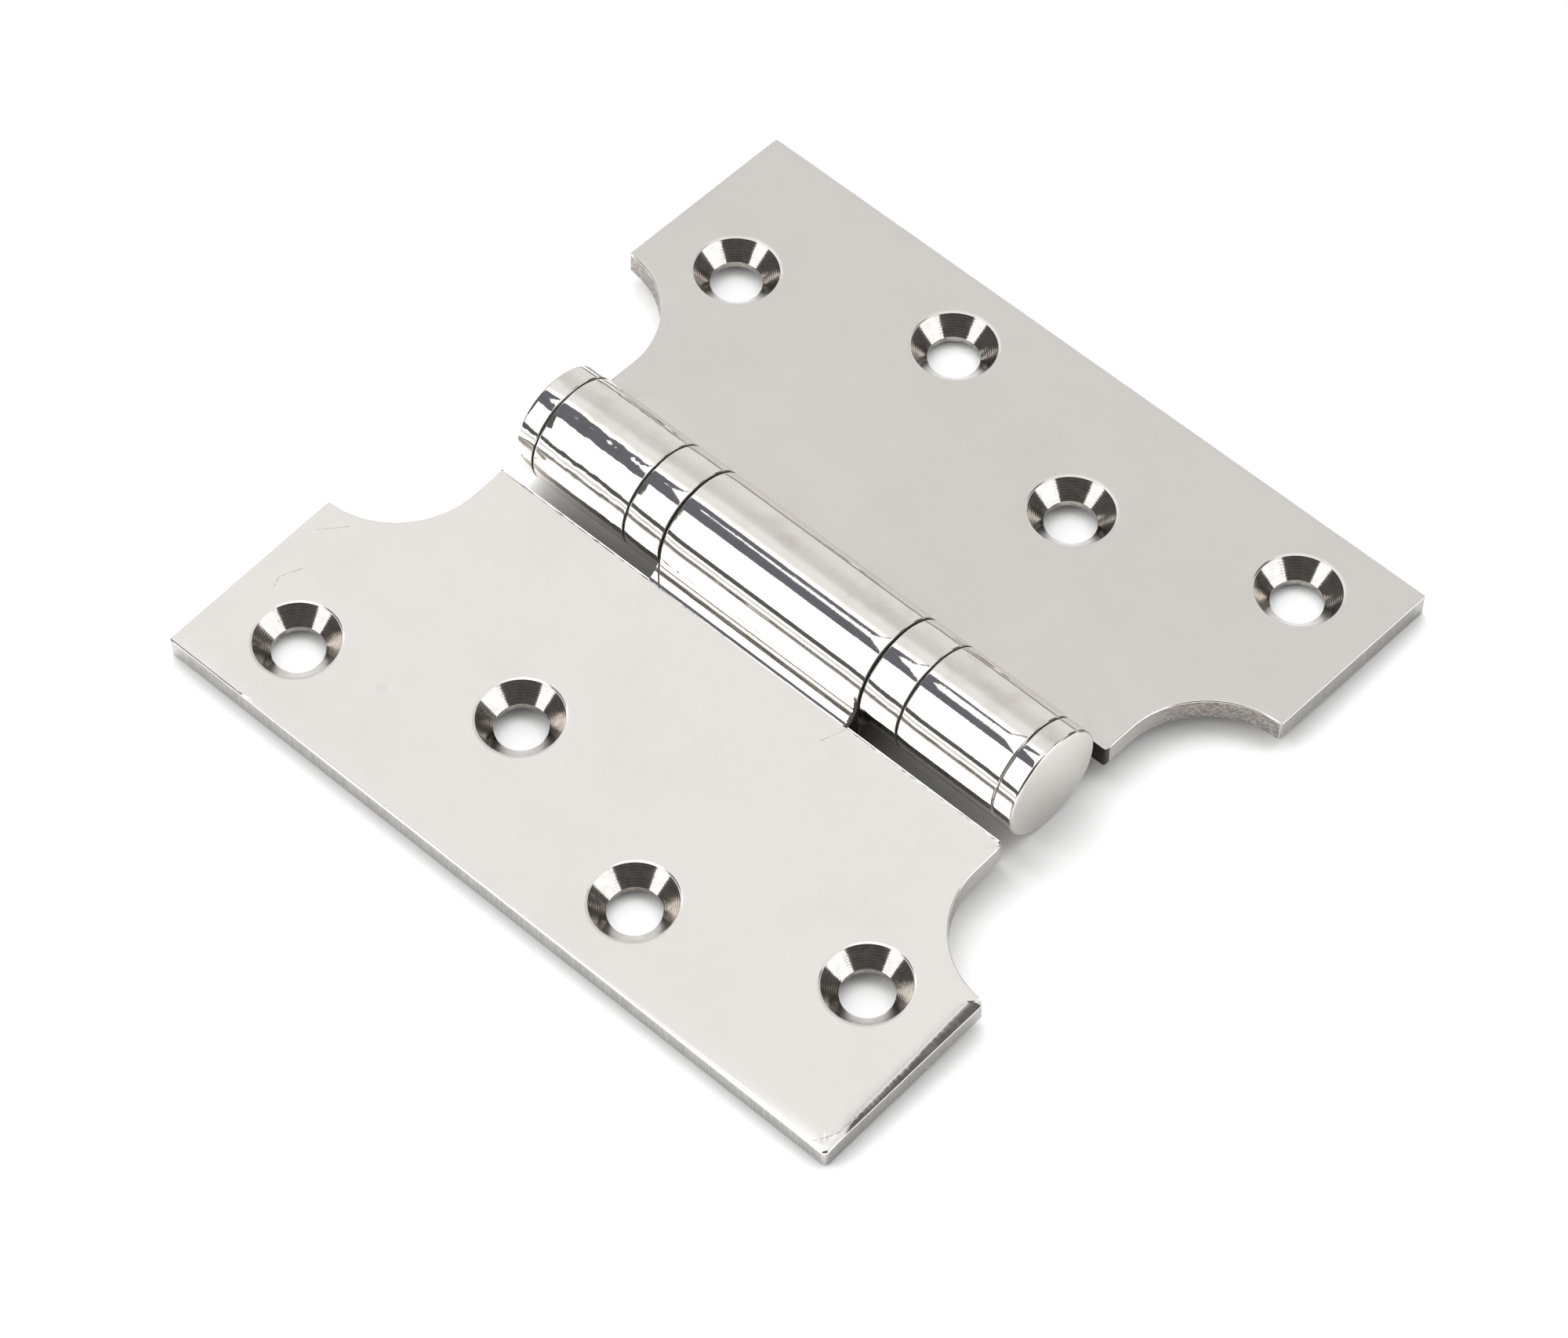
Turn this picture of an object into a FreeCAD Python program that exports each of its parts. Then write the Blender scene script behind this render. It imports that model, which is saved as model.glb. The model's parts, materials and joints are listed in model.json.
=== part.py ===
import FreeCAD, Part
import Sketcher
import os
import sys

# Parliament hinge with two ball bearings, millimetres, +Z up.
# The origin lies on the floor under the middle of the barrel, +Y runs along the barrel,
# the two-knuckle leaf lies towards +X and the single-knuckle leaf towards -X.
# At rest the barrel's underside and both outer edges touch the floor, so the leaves droop a little.

document = FreeCAD.newDocument("ParliamentHinge")
sheet = document.addObject("Spreadsheet::Sheet", "Sizes")

# Driving sizes: alias, value, meaning
driving_sizes = [
    ("leaf_height", "102", "leaf size along the barrel"),
    ("leaf_reach", "51.5", "barrel axis to a leaf's outer edge"),
    ("leaf_thickness", "3", "plate thickness"),
    ("face_below_axis", "1.85", "barrel axis to the leaf's face"),
    ("root_gap", "1.9", "barrel surface to a leaf's inner edge"),
    ("neck_straight", "4.5", "straight end of the neck, before the quarter round"),
    ("cutout_radius", "12", "quarter round at each inner corner"),
    ("corner_radius", "0.7", "rounding of the outline's corners"),
    ("face_edge_radius", "0.35", "polished rounding round the face"),
    ("back_edge_break", "0.15", "chamfer round the back"),
    ("hollow_margin", "0.1", "flat strip between the root hollow and the inner edge"),
    ("screw_hole_diameter", "6.4", "clearance for a screw's shank"),
    ("countersink_diameter", "10.5", "at the face"),
    ("countersink_angle", "90", "included angle in degrees"),
    ("outer_hole_inset", "9.7", "outer hole row to the outer edge"),
    ("hole_stagger", "9.35", "outer row to inner row"),
    ("hole_pitch", "26.6", "hole to hole along the barrel"),
    ("barrel_diameter", "14.2", "knuckles, bearings and caps, all flush"),
    ("centre_knuckle_length", "30.9", "along the barrel"),
    ("neck_overhang", "0.3", "leaf's neck past each end of the barrel"),
    ("bearing_length", "5.75", "between a centre and an end knuckle"),
    ("cap_thickness", "3", "disc that closes the barrel"),
    ("cap_edge_radius", "0.5", "outer edge of the cap"),
    ("cap_spigot_length", "3.2", "spigot inside the end knuckle"),
    ("barrel_edge_break", "0.12", "chamfer at each joint line"),
    ("pin_diameter", "6.5", "hinge pin"),
    ("pin_end_gap", "0.7", "pin to each cap's spigot"),
    ("pin_chamfer", "0.4", "lead at each end of the pin"),
    ("shell_wall", "0.7", "bearing shell"),
    ("race_groove_depth", "0.25", "ball groove in each race"),
    ("cage_rib", "0.4", "cage metal on each side of a pocket"),
    ("ball_count", "8", "balls in each bearing"),
    ("running_clearance", "0.05", "radial, pin in what turns on it"),
    ("seat_clearance", "0.01", "radial, pieces pressed together"),
    ("face_clearance", "0.1", "shell to the centre knuckle, and ring to shell"),
    ("cage_clearance", "0.15", "cage to pin, shell and races"),
    ("ball_clearance", "0.04", "ball to groove and to pocket"),
]

# Sizes that follow from them: alias, formula
derived_sizes = [
    ("barrel_radius", "barrel_diameter / 2"),
    ("pin_radius", "pin_diameter / 2"),
    ("back_below_axis", "face_below_axis + leaf_thickness"),
    ("droop", "asin(barrel_radius / hypot(back_below_axis; leaf_reach))"
     " - atan(back_below_axis / leaf_reach)"),
    ("inner_edge", "barrel_radius + root_gap"),
    ("hollow_end", "inner_edge - hollow_margin"),
    ("face_hollow_radius", "(hollow_end ^ 2 + face_below_axis ^ 2 - barrel_radius ^ 2)"
     " / (2 * (barrel_radius + face_below_axis))"),
    ("back_hollow_radius", "(hollow_end ^ 2 + back_below_axis ^ 2 - barrel_radius ^ 2)"
     " / (2 * (barrel_radius + back_below_axis))"),
    ("neck_end", "inner_edge + neck_straight"),
    ("outer_row", "leaf_reach - outer_hole_inset"),
    ("inner_row", "outer_row - hole_stagger"),
    ("centre_end", "centre_knuckle_length / 2"),
    ("bearing_end", "centre_end + bearing_length"),
    ("barrel_end", "leaf_height / 2 - cutout_radius - neck_overhang"),
    ("knuckle_end", "barrel_end - cap_thickness"),
    ("spigot_tip", "knuckle_end - cap_spigot_length"),
    ("pin_end", "spigot_tip - pin_end_gap"),
    ("shell_inner_radius", "barrel_radius - shell_wall"),
    ("race_inner_radius", "pin_radius + running_clearance"),
    ("cage_inner_radius", "pin_radius + cage_clearance"),
    ("cage_outer_radius", "shell_inner_radius - cage_clearance"),
    ("pitch_radius", "(cage_inner_radius + cage_outer_radius) / 2"),
    ("pocket_radius", "(cage_outer_radius - cage_inner_radius) / 2 - cage_rib"),
    ("ball_radius", "pocket_radius - ball_clearance"),
    ("groove_radius", "ball_radius + ball_clearance"),
    ("ball_plane", "centre_end + bearing_length / 2"),
    ("race_half_space", "groove_radius - race_groove_depth"),
    ("cage_thickness", "2 * (race_half_space - cage_clearance)"),
]


def fill_sheet():
    rows = [(alias, value, note) for alias, value, note in driving_sizes]
    rows += [(alias, "=" + formula, "") for alias, formula in derived_sizes]
    for row, (alias, content, note) in enumerate(rows, start=1):
        sheet.set(f"A{row}", alias)
        sheet.set(f"B{row}", content)
        sheet.setAlias(f"B{row}", alias)
        sheet.set(f"C{row}", note)
    document.recompute()


def value_of(expression):
    found = sheet.evalExpression(expression)
    return float(getattr(found, "Value", found))


def sized(name):
    return f"Sizes.{name}"


fill_sheet()

barrel_placement = "placement(vector(0; 0; Sizes.barrel_radius); rotationy(0))"
plus_leaf_placement = "placement(vector(0; 0; Sizes.barrel_radius); rotationy(Sizes.droop))"
minus_leaf_placement = (
    "placement(vector(0; 0; Sizes.barrel_radius); rotationz(180) * rotationy(Sizes.droop))"
)
sub_parts = []


def new_body(label, placement):
    body = document.addObject("PartDesign::Body", label)
    body.Label = label
    body.setExpression("Placement", placement)
    sub_parts.append(body)
    return body


def new_sketch(body, name, plane_role, offset=None):
    plane = next(item for item in body.Origin.OriginFeatures if item.Role == plane_role)
    sketch = body.newObject("Sketcher::SketchObject", name)
    sketch.AttachmentSupport = [(plane, "")]
    sketch.MapMode = "FlatFace"
    if offset:
        sketch.setExpression("AttachmentOffset.Base.z", offset)
    return sketch


# One coordinate of a sketch point, tied to an expression
def pin_point(sketch, geometry, point, direction, expression):
    constraint = Sketcher.Constraint(direction, geometry, point, value_of(expression))
    index = sketch.addConstraint(constraint)
    sketch.setExpression(f"Constraints[{index}]", expression)


def pin_size(sketch, kind, geometry, expression):
    index = sketch.addConstraint(Sketcher.Constraint(kind, geometry, value_of(expression)))
    sketch.setExpression(f"Constraints[{index}]", expression)


# Closed outline of straight lines through corners given as pairs of expressions
def draw_polygon(sketch, corners):
    points = [FreeCAD.Vector(value_of(across), value_of(along), 0) for across, along in corners]
    count = len(points)
    lines = [Part.LineSegment(points[i], points[(i + 1) % count]) for i in range(count)]
    sketch.addGeometry(lines)
    for i in range(count):
        sketch.addConstraint(Sketcher.Constraint("Coincident", i, 2, (i + 1) % count, 1))
    for i, (across, along) in enumerate(corners):
        pin_point(sketch, i, 1, "DistanceX", across)
        pin_point(sketch, i, 1, "DistanceY", along)


def draw_circle(sketch, across, along, radius):
    centre = FreeCAD.Vector(value_of(across), value_of(along), 0)
    circle = Part.Circle(centre, FreeCAD.Vector(0, 0, 1), value_of(radius))
    geometry = sketch.addGeometry(circle)
    pin_point(sketch, geometry, 3, "DistanceX", across)
    pin_point(sketch, geometry, 3, "DistanceY", along)
    pin_size(sketch, "Radius", geometry, radius)


def extrude(body, name, kind, sketch, length, midplane=False, reverse=False):
    feature = body.newObject(kind, name)
    feature.Profile = sketch
    feature.SideType = "Symmetric" if midplane else "One side"
    feature.Reversed = reverse
    feature.setExpression("Length", length)
    document.recompute()
    return feature


def revolve(body, name, kind, sketch):
    feature = body.newObject(kind, name)
    feature.Profile = sketch
    feature.ReferenceAxis = (sketch, ["V_Axis"])
    feature.Angle = 360
    document.recompute()
    return feature


# Names of a feature's edges for which the test holds
def edges_where(feature, test):
    return [f"Edge{i}" for i, edge in enumerate(feature.Shape.Edges, start=1) if test(edge)]


def dress(body, name, kind, base, edges, size_property, size):
    feature = body.newObject(kind, name)
    feature.Base = (base, edges)
    feature.setExpression(size_property, size)
    document.recompute()
    return feature


def near(value, target):
    return abs(value - target) < match_tolerance


# True for a straight edge along the given direction, either way
def runs_along(edge, direction):
    if edge.Curve.TypeId != "Part::GeomLine":
        return False
    return near(abs(edge.Curve.Direction.dot(direction)), 1)


match_tolerance = 1e-4
along_y = FreeCAD.Vector(0, 1, 0)
along_z = FreeCAD.Vector(0, 0, 1)


# Plate outline in the leaf's plane: straight edges, and a quarter round at each inner corner
# whose centre lies on the short edge's own line
def draw_leaf_outline(sketch):
    half = value_of("Sizes.leaf_height / 2")
    reach = value_of(sized("leaf_reach"))
    inner = value_of(sized("inner_edge"))
    neck = value_of(sized("neck_end"))
    radius = value_of(sized("cutout_radius"))
    neck_half = half - radius

    def at(across, along):
        return FreeCAD.Vector(across, along, 0)

    def quarter(along, start, end):
        circle = Part.Circle(at(neck, along), FreeCAD.Vector(0, 0, 1), radius)
        return Part.ArcOfCircle(circle, start, end)

    right_angle = value_of("pi / 2")
    sketch.addGeometry([
        Part.LineSegment(at(inner, neck_half), at(inner, -neck_half)),
        Part.LineSegment(at(inner, -neck_half), at(neck, -neck_half)),
        quarter(-half, 0, right_angle),
        Part.LineSegment(at(neck + radius, -half), at(reach, -half)),
        Part.LineSegment(at(reach, -half), at(reach, half)),
        Part.LineSegment(at(reach, half), at(neck + radius, half)),
        quarter(half, 3 * right_angle, 4 * right_angle),
        Part.LineSegment(at(neck, neck_half), at(inner, neck_half)),
    ])
    inner_line, low_neck, low_round, low_edge, outer_line, high_edge, high_round, high_neck = range(8)
    start, end, middle = 1, 2, 3
    add = sketch.addConstraint
    add(Sketcher.Constraint("Coincident", inner_line, end, low_neck, start))
    add(Sketcher.Constraint("Tangent", low_neck, end, low_round, end))
    add(Sketcher.Constraint("Coincident", low_round, start, low_edge, start))
    add(Sketcher.Constraint("Coincident", low_edge, end, outer_line, start))
    add(Sketcher.Constraint("Coincident", outer_line, end, high_edge, start))
    add(Sketcher.Constraint("Coincident", high_edge, end, high_round, end))
    add(Sketcher.Constraint("Tangent", high_round, start, high_neck, start))
    add(Sketcher.Constraint("Coincident", high_neck, end, inner_line, start))
    for line in (low_neck, low_edge, high_edge, high_neck):
        add(Sketcher.Constraint("Horizontal", line))
    for line in (inner_line, outer_line):
        add(Sketcher.Constraint("Vertical", line))
    add(Sketcher.Constraint("PointOnObject", low_round, middle, low_edge))
    add(Sketcher.Constraint("PointOnObject", high_round, middle, high_edge))
    add(Sketcher.Constraint("Equal", low_round, high_round))
    add(Sketcher.Constraint("Vertical", low_round, middle, high_round, middle))
    pin_size(sketch, "Radius", low_round, sized("cutout_radius"))
    pin_point(sketch, outer_line, start, "DistanceX", sized("leaf_reach"))
    pin_point(sketch, outer_line, start, "DistanceY", "-Sizes.leaf_height / 2")
    pin_point(sketch, outer_line, end, "DistanceY", "Sizes.leaf_height / 2")
    pin_point(sketch, inner_line, start, "DistanceX", sized("inner_edge"))
    pin_point(sketch, low_round, middle, "DistanceX", sized("neck_end"))


# Plate: padded down from the face, corners rounded, the face's edge polished round
def make_plate(body):
    outline = new_sketch(body, "PlateOutline", "XY_Plane", "-Sizes.face_below_axis")
    draw_leaf_outline(outline)
    plate = extrude(body, "Plate", "PartDesign::Pad", outline, sized("leaf_thickness"), reverse=True)
    inner = value_of(sized("inner_edge"))
    neck = value_of(sized("neck_end"))

    def outer_corner(edge):
        across = edge.CenterOfMass.x
        return runs_along(edge, along_z) and (across > neck + match_tolerance or near(across, inner))

    corners = edges_where(plate, outer_corner)
    rounded = dress(body, "Corners", "PartDesign::Fillet", plate, corners, "Radius",
                    sized("corner_radius"))
    face = -value_of(sized("face_below_axis"))
    back = -value_of(sized("back_below_axis"))

    def round_the(level):
        def test(edge):
            flat = near(edge.BoundBox.ZMin, level) and near(edge.BoundBox.ZMax, level)
            return flat and not near(edge.BoundBox.XMax, inner)
        return test

    polished = dress(body, "FaceEdge", "PartDesign::Fillet", rounded,
                     edges_where(rounded, round_the(face)), "Radius", sized("face_edge_radius"))
    return dress(body, "BackEdge", "PartDesign::Chamfer", polished,
                 edges_where(polished, round_the(back)), "Size", sized("back_edge_break"))


# Knuckle and root web over one length along the barrel, standing on the plane across the barrel
def make_knuckle_bar(body, length):
    ring = new_sketch(body, "KnuckleCircle", "XZ_Plane")
    draw_circle(ring, "0", "0", sized("barrel_radius"))
    extrude(body, "Knuckle", "PartDesign::Pad", ring, length, midplane=True)
    web = new_sketch(body, "WebSection", "XZ_Plane")
    draw_polygon(web, [
        ("0", "-Sizes.back_below_axis"),
        ("Sizes.inner_edge + Sizes.corner_radius", "-Sizes.back_below_axis"),
        ("Sizes.inner_edge + Sizes.corner_radius", "-Sizes.face_below_axis"),
        ("0", "-Sizes.face_below_axis"),
    ])
    return extrude(body, "Web", "PartDesign::Pad", web, length, midplane=True)


# Gap for the other leaf's knuckle and the bearings, cut back to the inner edge
def cut_middle(body, length):
    window = new_sketch(body, "MiddleWindow", "XZ_Plane")
    past_barrel = "Sizes.barrel_diameter"
    draw_polygon(window, [
        (f"-{past_barrel}", f"-{past_barrel}"),
        (sized("inner_edge"), f"-{past_barrel}"),
        (sized("inner_edge"), past_barrel),
        (f"-{past_barrel}", past_barrel),
    ])
    return extrude(body, "Middle", "PartDesign::Pocket", window, length, midplane=True)


def cut_bore(body, clearance):
    bore = new_sketch(body, "BoreCircle", "XZ_Plane")
    draw_circle(bore, "0", "0", f"Sizes.pin_radius + {sized(clearance)}")
    return extrude(body, "Bore", "PartDesign::Pocket", bore, "2 * Sizes.barrel_end", midplane=True)


# Hollows that run from the knuckle into face and back, and a broken edge at each knuckle end
def blend_root(body, base):
    radius = value_of(sized("barrel_radius"))
    face = -value_of(sized("face_below_axis"))
    back = -value_of(sized("back_below_axis"))

    def root_line(level):
        def test(edge):
            centre = edge.CenterOfMass
            on_barrel = near((centre.x ** 2 + centre.z ** 2) ** 0.5, radius)
            return runs_along(edge, along_y) and near(centre.z, level) and on_barrel and centre.x > 0
        return test

    top = dress(body, "FaceHollow", "PartDesign::Fillet", base, edges_where(base, root_line(face)),
                "Radius", sized("face_hollow_radius"))
    under = dress(body, "BackHollow", "PartDesign::Fillet", top, edges_where(top, root_line(back)),
                  "Radius", sized("back_hollow_radius"))

    def knuckle_rim(edge):
        if edge.Curve.TypeId != "Part::GeomCircle":
            return False
        return near(edge.Curve.Radius, radius) and near(abs(edge.Curve.Axis.y), 1)

    return dress(body, "KnuckleRims", "PartDesign::Chamfer", under, edges_where(under, knuckle_rim),
                 "Size", sized("barrel_edge_break"))


# Four countersunk screw holes in a zigzag of two rows
def drill_screw_holes(body):
    centres = new_sketch(body, "ScrewCentres", "XY_Plane", "-Sizes.face_below_axis")
    rows = ("outer_row", "inner_row", "outer_row", "inner_row")
    middle = (len(rows) - 1) / 2
    for place, row in enumerate(rows):
        along = f"{place - middle} * Sizes.hole_pitch"
        draw_circle(centres, sized(row), along, "Sizes.screw_hole_diameter / 2")
    document.recompute()
    holes = body.newObject("PartDesign::Hole", "ScrewHoles")
    holes.Profile = centres
    document.recompute()
    holes.Threaded = False
    holes.DepthType = "ThroughAll"
    holes.HoleCutType = "Countersink"
    holes.setExpression("Diameter", sized("screw_hole_diameter"))
    holes.setExpression("HoleCutDiameter", sized("countersink_diameter"))
    holes.setExpression("HoleCutCountersinkAngle", sized("countersink_angle"))
    document.recompute()
    return holes


def make_single_knuckle_leaf():
    body = new_body("single_knuckle_leaf", minus_leaf_placement)
    make_plate(body)
    make_knuckle_bar(body, sized("centre_knuckle_length"))
    bored = cut_bore(body, "running_clearance")
    blend_root(body, bored)
    drill_screw_holes(body)


def make_two_knuckle_leaf():
    body = new_body("two_knuckle_leaf", plus_leaf_placement)
    make_plate(body)
    make_knuckle_bar(body, "2 * Sizes.knuckle_end")
    cut_middle(body, "2 * Sizes.bearing_end")
    bored = cut_bore(body, "seat_clearance")
    blend_root(body, bored)
    drill_screw_holes(body)


# Turned piece: a section in the plane of the barrel axis, given as radius and station
def make_turned(label, section):
    body = new_body(label, barrel_placement)
    sketch = new_sketch(body, "Section", "XY_Plane")
    draw_polygon(sketch, section)
    revolve(body, "Turned", "PartDesign::Revolution", sketch)
    return body


def make_pin():
    neck = "Sizes.pin_radius - Sizes.pin_chamfer"
    make_turned("hinge_pin", [
        ("0", "-Sizes.pin_end"),
        (neck, "-Sizes.pin_end"),
        (sized("pin_radius"), "Sizes.pin_chamfer - Sizes.pin_end"),
        (sized("pin_radius"), "Sizes.pin_end - Sizes.pin_chamfer"),
        (neck, sized("pin_end")),
        ("0", sized("pin_end")),
    ])


# Flush cap with a spigot pressed into the end knuckle's bore; its outer edge is polished round
def make_cap(side, sign):
    broken = sized("barrel_edge_break")
    body = make_turned(f"{side}_end_cap", [
        ("0", f"{sign} * Sizes.spigot_tip"),
        (sized("pin_radius"), f"{sign} * Sizes.spigot_tip"),
        (sized("pin_radius"), f"{sign} * Sizes.knuckle_end"),
        (f"Sizes.barrel_radius - {broken}", f"{sign} * Sizes.knuckle_end"),
        (sized("barrel_radius"), f"{sign} * (Sizes.knuckle_end + {broken})"),
        (sized("barrel_radius"), f"{sign} * Sizes.barrel_end"),
        ("0", f"{sign} * Sizes.barrel_end"),
    ])
    turned = body.Tip
    outer_end = sign * value_of(sized("barrel_end"))

    def outer_rim(edge):
        return near(edge.BoundBox.YMin, outer_end) and near(edge.BoundBox.YMax, outer_end)

    dress(body, "OuterEdge", "PartDesign::Fillet", turned, edges_where(turned, outer_rim), "Radius",
          sized("cap_edge_radius"))


# Outer shell of a bearing, flush with the knuckles
def make_shell(side, sign):
    broken = sized("barrel_edge_break")
    near_end = "(Sizes.centre_end + Sizes.face_clearance)"
    make_turned(f"{side}_bearing_shell", [
        (sized("shell_inner_radius"), f"{sign} * {near_end}"),
        (f"Sizes.barrel_radius - {broken}", f"{sign} * {near_end}"),
        (sized("barrel_radius"), f"{sign} * ({near_end} + {broken})"),
        (sized("barrel_radius"), f"{sign} * (Sizes.bearing_end - {broken})"),
        (f"Sizes.barrel_radius - {broken}", f"{sign} * Sizes.bearing_end"),
        (sized("shell_inner_radius"), f"{sign} * Sizes.bearing_end"),
    ])


# Hardened ring with a ball groove; the fixed one seats in the shell, the turning one clears it
def make_race(label, sign, outer_face, toward, shell_clearance):
    outer_radius = f"Sizes.shell_inner_radius - {sized(shell_clearance)}"
    inner_face = f"(Sizes.ball_plane {toward} Sizes.race_half_space)"
    body = make_turned(label, [
        (sized("race_inner_radius"), f"{sign} * {sized(outer_face)}"),
        (outer_radius, f"{sign} * {sized(outer_face)}"),
        (outer_radius, f"{sign} * {inner_face}"),
        (sized("race_inner_radius"), f"{sign} * {inner_face}"),
    ])
    groove = new_sketch(body, "GrooveCircle", "XY_Plane")
    draw_circle(groove, sized("pitch_radius"), f"{sign} * Sizes.ball_plane", sized("groove_radius"))
    revolve(body, "BallGroove", "PartDesign::Groove", groove)


# Flat ring with a round pocket for each ball
def make_cage(side, sign):
    half = "Sizes.cage_thickness / 2"
    body = make_turned(f"{side}_ball_cage", [
        (sized("cage_inner_radius"), f"{sign} * Sizes.ball_plane - {half}"),
        (sized("cage_outer_radius"), f"{sign} * Sizes.ball_plane - {half}"),
        (sized("cage_outer_radius"), f"{sign} * Sizes.ball_plane + {half}"),
        (sized("cage_inner_radius"), f"{sign} * Sizes.ball_plane + {half}"),
    ])
    hole = new_sketch(body, "PocketCircle", "XZ_Plane")
    draw_circle(hole, sized("pitch_radius"), "0", sized("pocket_radius"))
    pocket = extrude(body, "Pocket", "PartDesign::Pocket", hole, "2 * Sizes.barrel_end",
                     midplane=True)
    ring = body.newObject("PartDesign::PolarPattern", "Pockets")
    ring.Originals = [pocket]
    ring.Axis = (hole, ["N_Axis"])
    ring.Angle = 360
    ring.setExpression("Occurrences", sized("ball_count"))
    body.Tip = ring
    document.recompute()


def make_balls(side, sign):
    count = int(value_of(sized("ball_count")))
    for place in range(count):
        label = f"{side}_bearing_ball_{place + 1}"
        ball = document.addObject("Part::Sphere", label)
        ball.Label = label
        ball.setExpression("Radius", sized("ball_radius"))
        turn = f"{place} * 360 deg / Sizes.ball_count"
        ball.setExpression("Placement", (
            f"placement(vector(Sizes.pitch_radius * cos({turn}); {sign} * Sizes.ball_plane;"
            f" Sizes.barrel_radius + Sizes.pitch_radius * sin({turn})); rotationx(90))"
        ))
        sub_parts.append(ball)


def make_bearing(side, sign):
    make_shell(side, sign)
    make_race(f"{side}_fixed_race", sign, "bearing_end", "+", "seat_clearance")
    make_race(f"{side}_turning_race", sign, "centre_end", "-", "face_clearance")
    make_cage(side, sign)
    make_balls(side, sign)


# Every object has to be sound and every sub-part one valid solid before a file is written
def check_document():
    document.recompute()
    faults = [item.Name for item in document.Objects if {"Invalid", "Error"} & set(item.State)]
    for piece in sub_parts:
        shape = piece.Shape
        if shape.isNull() or not shape.isValid() or len(shape.Solids) != 1:
            faults.append(piece.Label)
    if faults:
        sys.exit("faulty: " + ", ".join(faults))


def write_steps():
    os.makedirs("parts", exist_ok=True)
    for piece in sub_parts:
        piece.Shape.exportStep(f"parts/{piece.Label}.step")
        print(f"{piece.Label}: {piece.Shape.Volume:.2f} mm3")


make_two_knuckle_leaf()
make_single_knuckle_leaf()
make_pin()
for side, sign in (("upper", 1), ("lower", -1)):
    make_bearing(side, sign)
    make_cap(side, sign)
check_document()
write_steps()
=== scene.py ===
import json
import math
import random

import bmesh
import bpy
from mathutils import Matrix, Vector, noise


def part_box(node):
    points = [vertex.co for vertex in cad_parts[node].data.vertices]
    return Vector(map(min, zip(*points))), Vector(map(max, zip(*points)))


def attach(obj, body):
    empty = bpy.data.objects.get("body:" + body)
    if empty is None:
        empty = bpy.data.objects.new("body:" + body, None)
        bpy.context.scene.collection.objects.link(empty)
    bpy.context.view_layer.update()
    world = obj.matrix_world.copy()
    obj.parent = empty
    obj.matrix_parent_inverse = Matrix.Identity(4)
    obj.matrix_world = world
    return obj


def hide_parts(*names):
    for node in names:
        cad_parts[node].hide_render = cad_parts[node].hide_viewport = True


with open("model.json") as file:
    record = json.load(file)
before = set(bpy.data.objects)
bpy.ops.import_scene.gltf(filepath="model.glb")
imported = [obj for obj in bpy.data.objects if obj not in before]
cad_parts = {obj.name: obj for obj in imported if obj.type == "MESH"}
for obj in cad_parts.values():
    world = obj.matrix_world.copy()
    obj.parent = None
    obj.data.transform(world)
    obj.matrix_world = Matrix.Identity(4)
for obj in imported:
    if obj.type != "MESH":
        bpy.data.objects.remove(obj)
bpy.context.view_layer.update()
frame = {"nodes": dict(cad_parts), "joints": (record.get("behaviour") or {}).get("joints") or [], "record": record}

mm = 0.001
turn = 2 * math.pi
quarter = math.pi / 2
random.seed(7)

# Places that come from the frame: the swing axis, the leaves' droop and the screw rows
swing = next(j for j in frame["joints"] if j["name"] == "leaf_swing")
mounts = {m["name"]: m for m in frame["record"]["mounts"]}
outerScrews = mounts["two_knuckle_leaf_outer_screws"]
axisHeight = swing["pos_m"][2]
barrelRadius = axisHeight  # the barrel rests on the floor
droop = math.asin(outerScrews["axis"][0])
toAxis = Matrix.Translation((0, 0, axisHeight))
plusLeafPlace = toAxis @ Matrix.Rotation(droop, 4, "Y")
minusLeafPlace = toAxis @ Matrix.Rotation(math.pi, 4, "Z") @ Matrix.Rotation(droop, 4, "Y")
toLeaf = plusLeafPlace.inverted()
outerRow = (toLeaf @ Vector(outerScrews["pos_m"])).x
innerRow = (toLeaf @ Vector(mounts["two_knuckle_leaf_inner_screws"]["pos_m"])).x
backLevel = (toLeaf @ Vector(mounts["two_knuckle_leaf_back"]["pos_m"])).z
screwPitch = outerScrews["dims"]["spacing_y_mm"] * mm / 2
shankRadius = outerScrews["dims"]["hole_r_mm"] * mm
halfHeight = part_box("two_knuckle_leaf")[1].y - 0.001 * mm
capLow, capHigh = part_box("upper_end_cap")
shellLow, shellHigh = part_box("upper_bearing_shell")

shellLook = {"wall": 0.7 * mm}
capLook = {"spigotRadius": 3.25 * mm, "spigot": 3.2 * mm, "edge": 0.35 * mm, "edgeSteps": 8,
           "dome": 0.10 * mm, "domeSteps": 24, "crown": 0.5}
knuckleEnd = capLow.y + capLook["spigot"]
centreEnd = shellLow.y - 0.1 * mm
bearingEnd = shellHigh.y


# A value read from a node. Sums of readings are written as sums, and make math nodes
class Reading:
    def __init__(self, socket):
        self.socket = socket
        self.tree = socket.id_data

    def __add__(self, other):
        return calc("ADD", self, other)

    def __sub__(self, other):
        return calc("SUBTRACT", self, other)

    def __rsub__(self, other):
        return calc("SUBTRACT", other, self)

    def __mul__(self, other):
        return calc("MULTIPLY", self, other)

    def __truediv__(self, other):
        return calc("DIVIDE", self, other)

    def __mod__(self, other):
        return calc("MODULO", self, other)

    def __abs__(self):
        return calc("ABSOLUTE", self)


def setInput(socket, value):
    if isinstance(value, Reading):
        socket.id_data.links.new(value.socket, socket)
    else:
        socket.default_value = value


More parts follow.
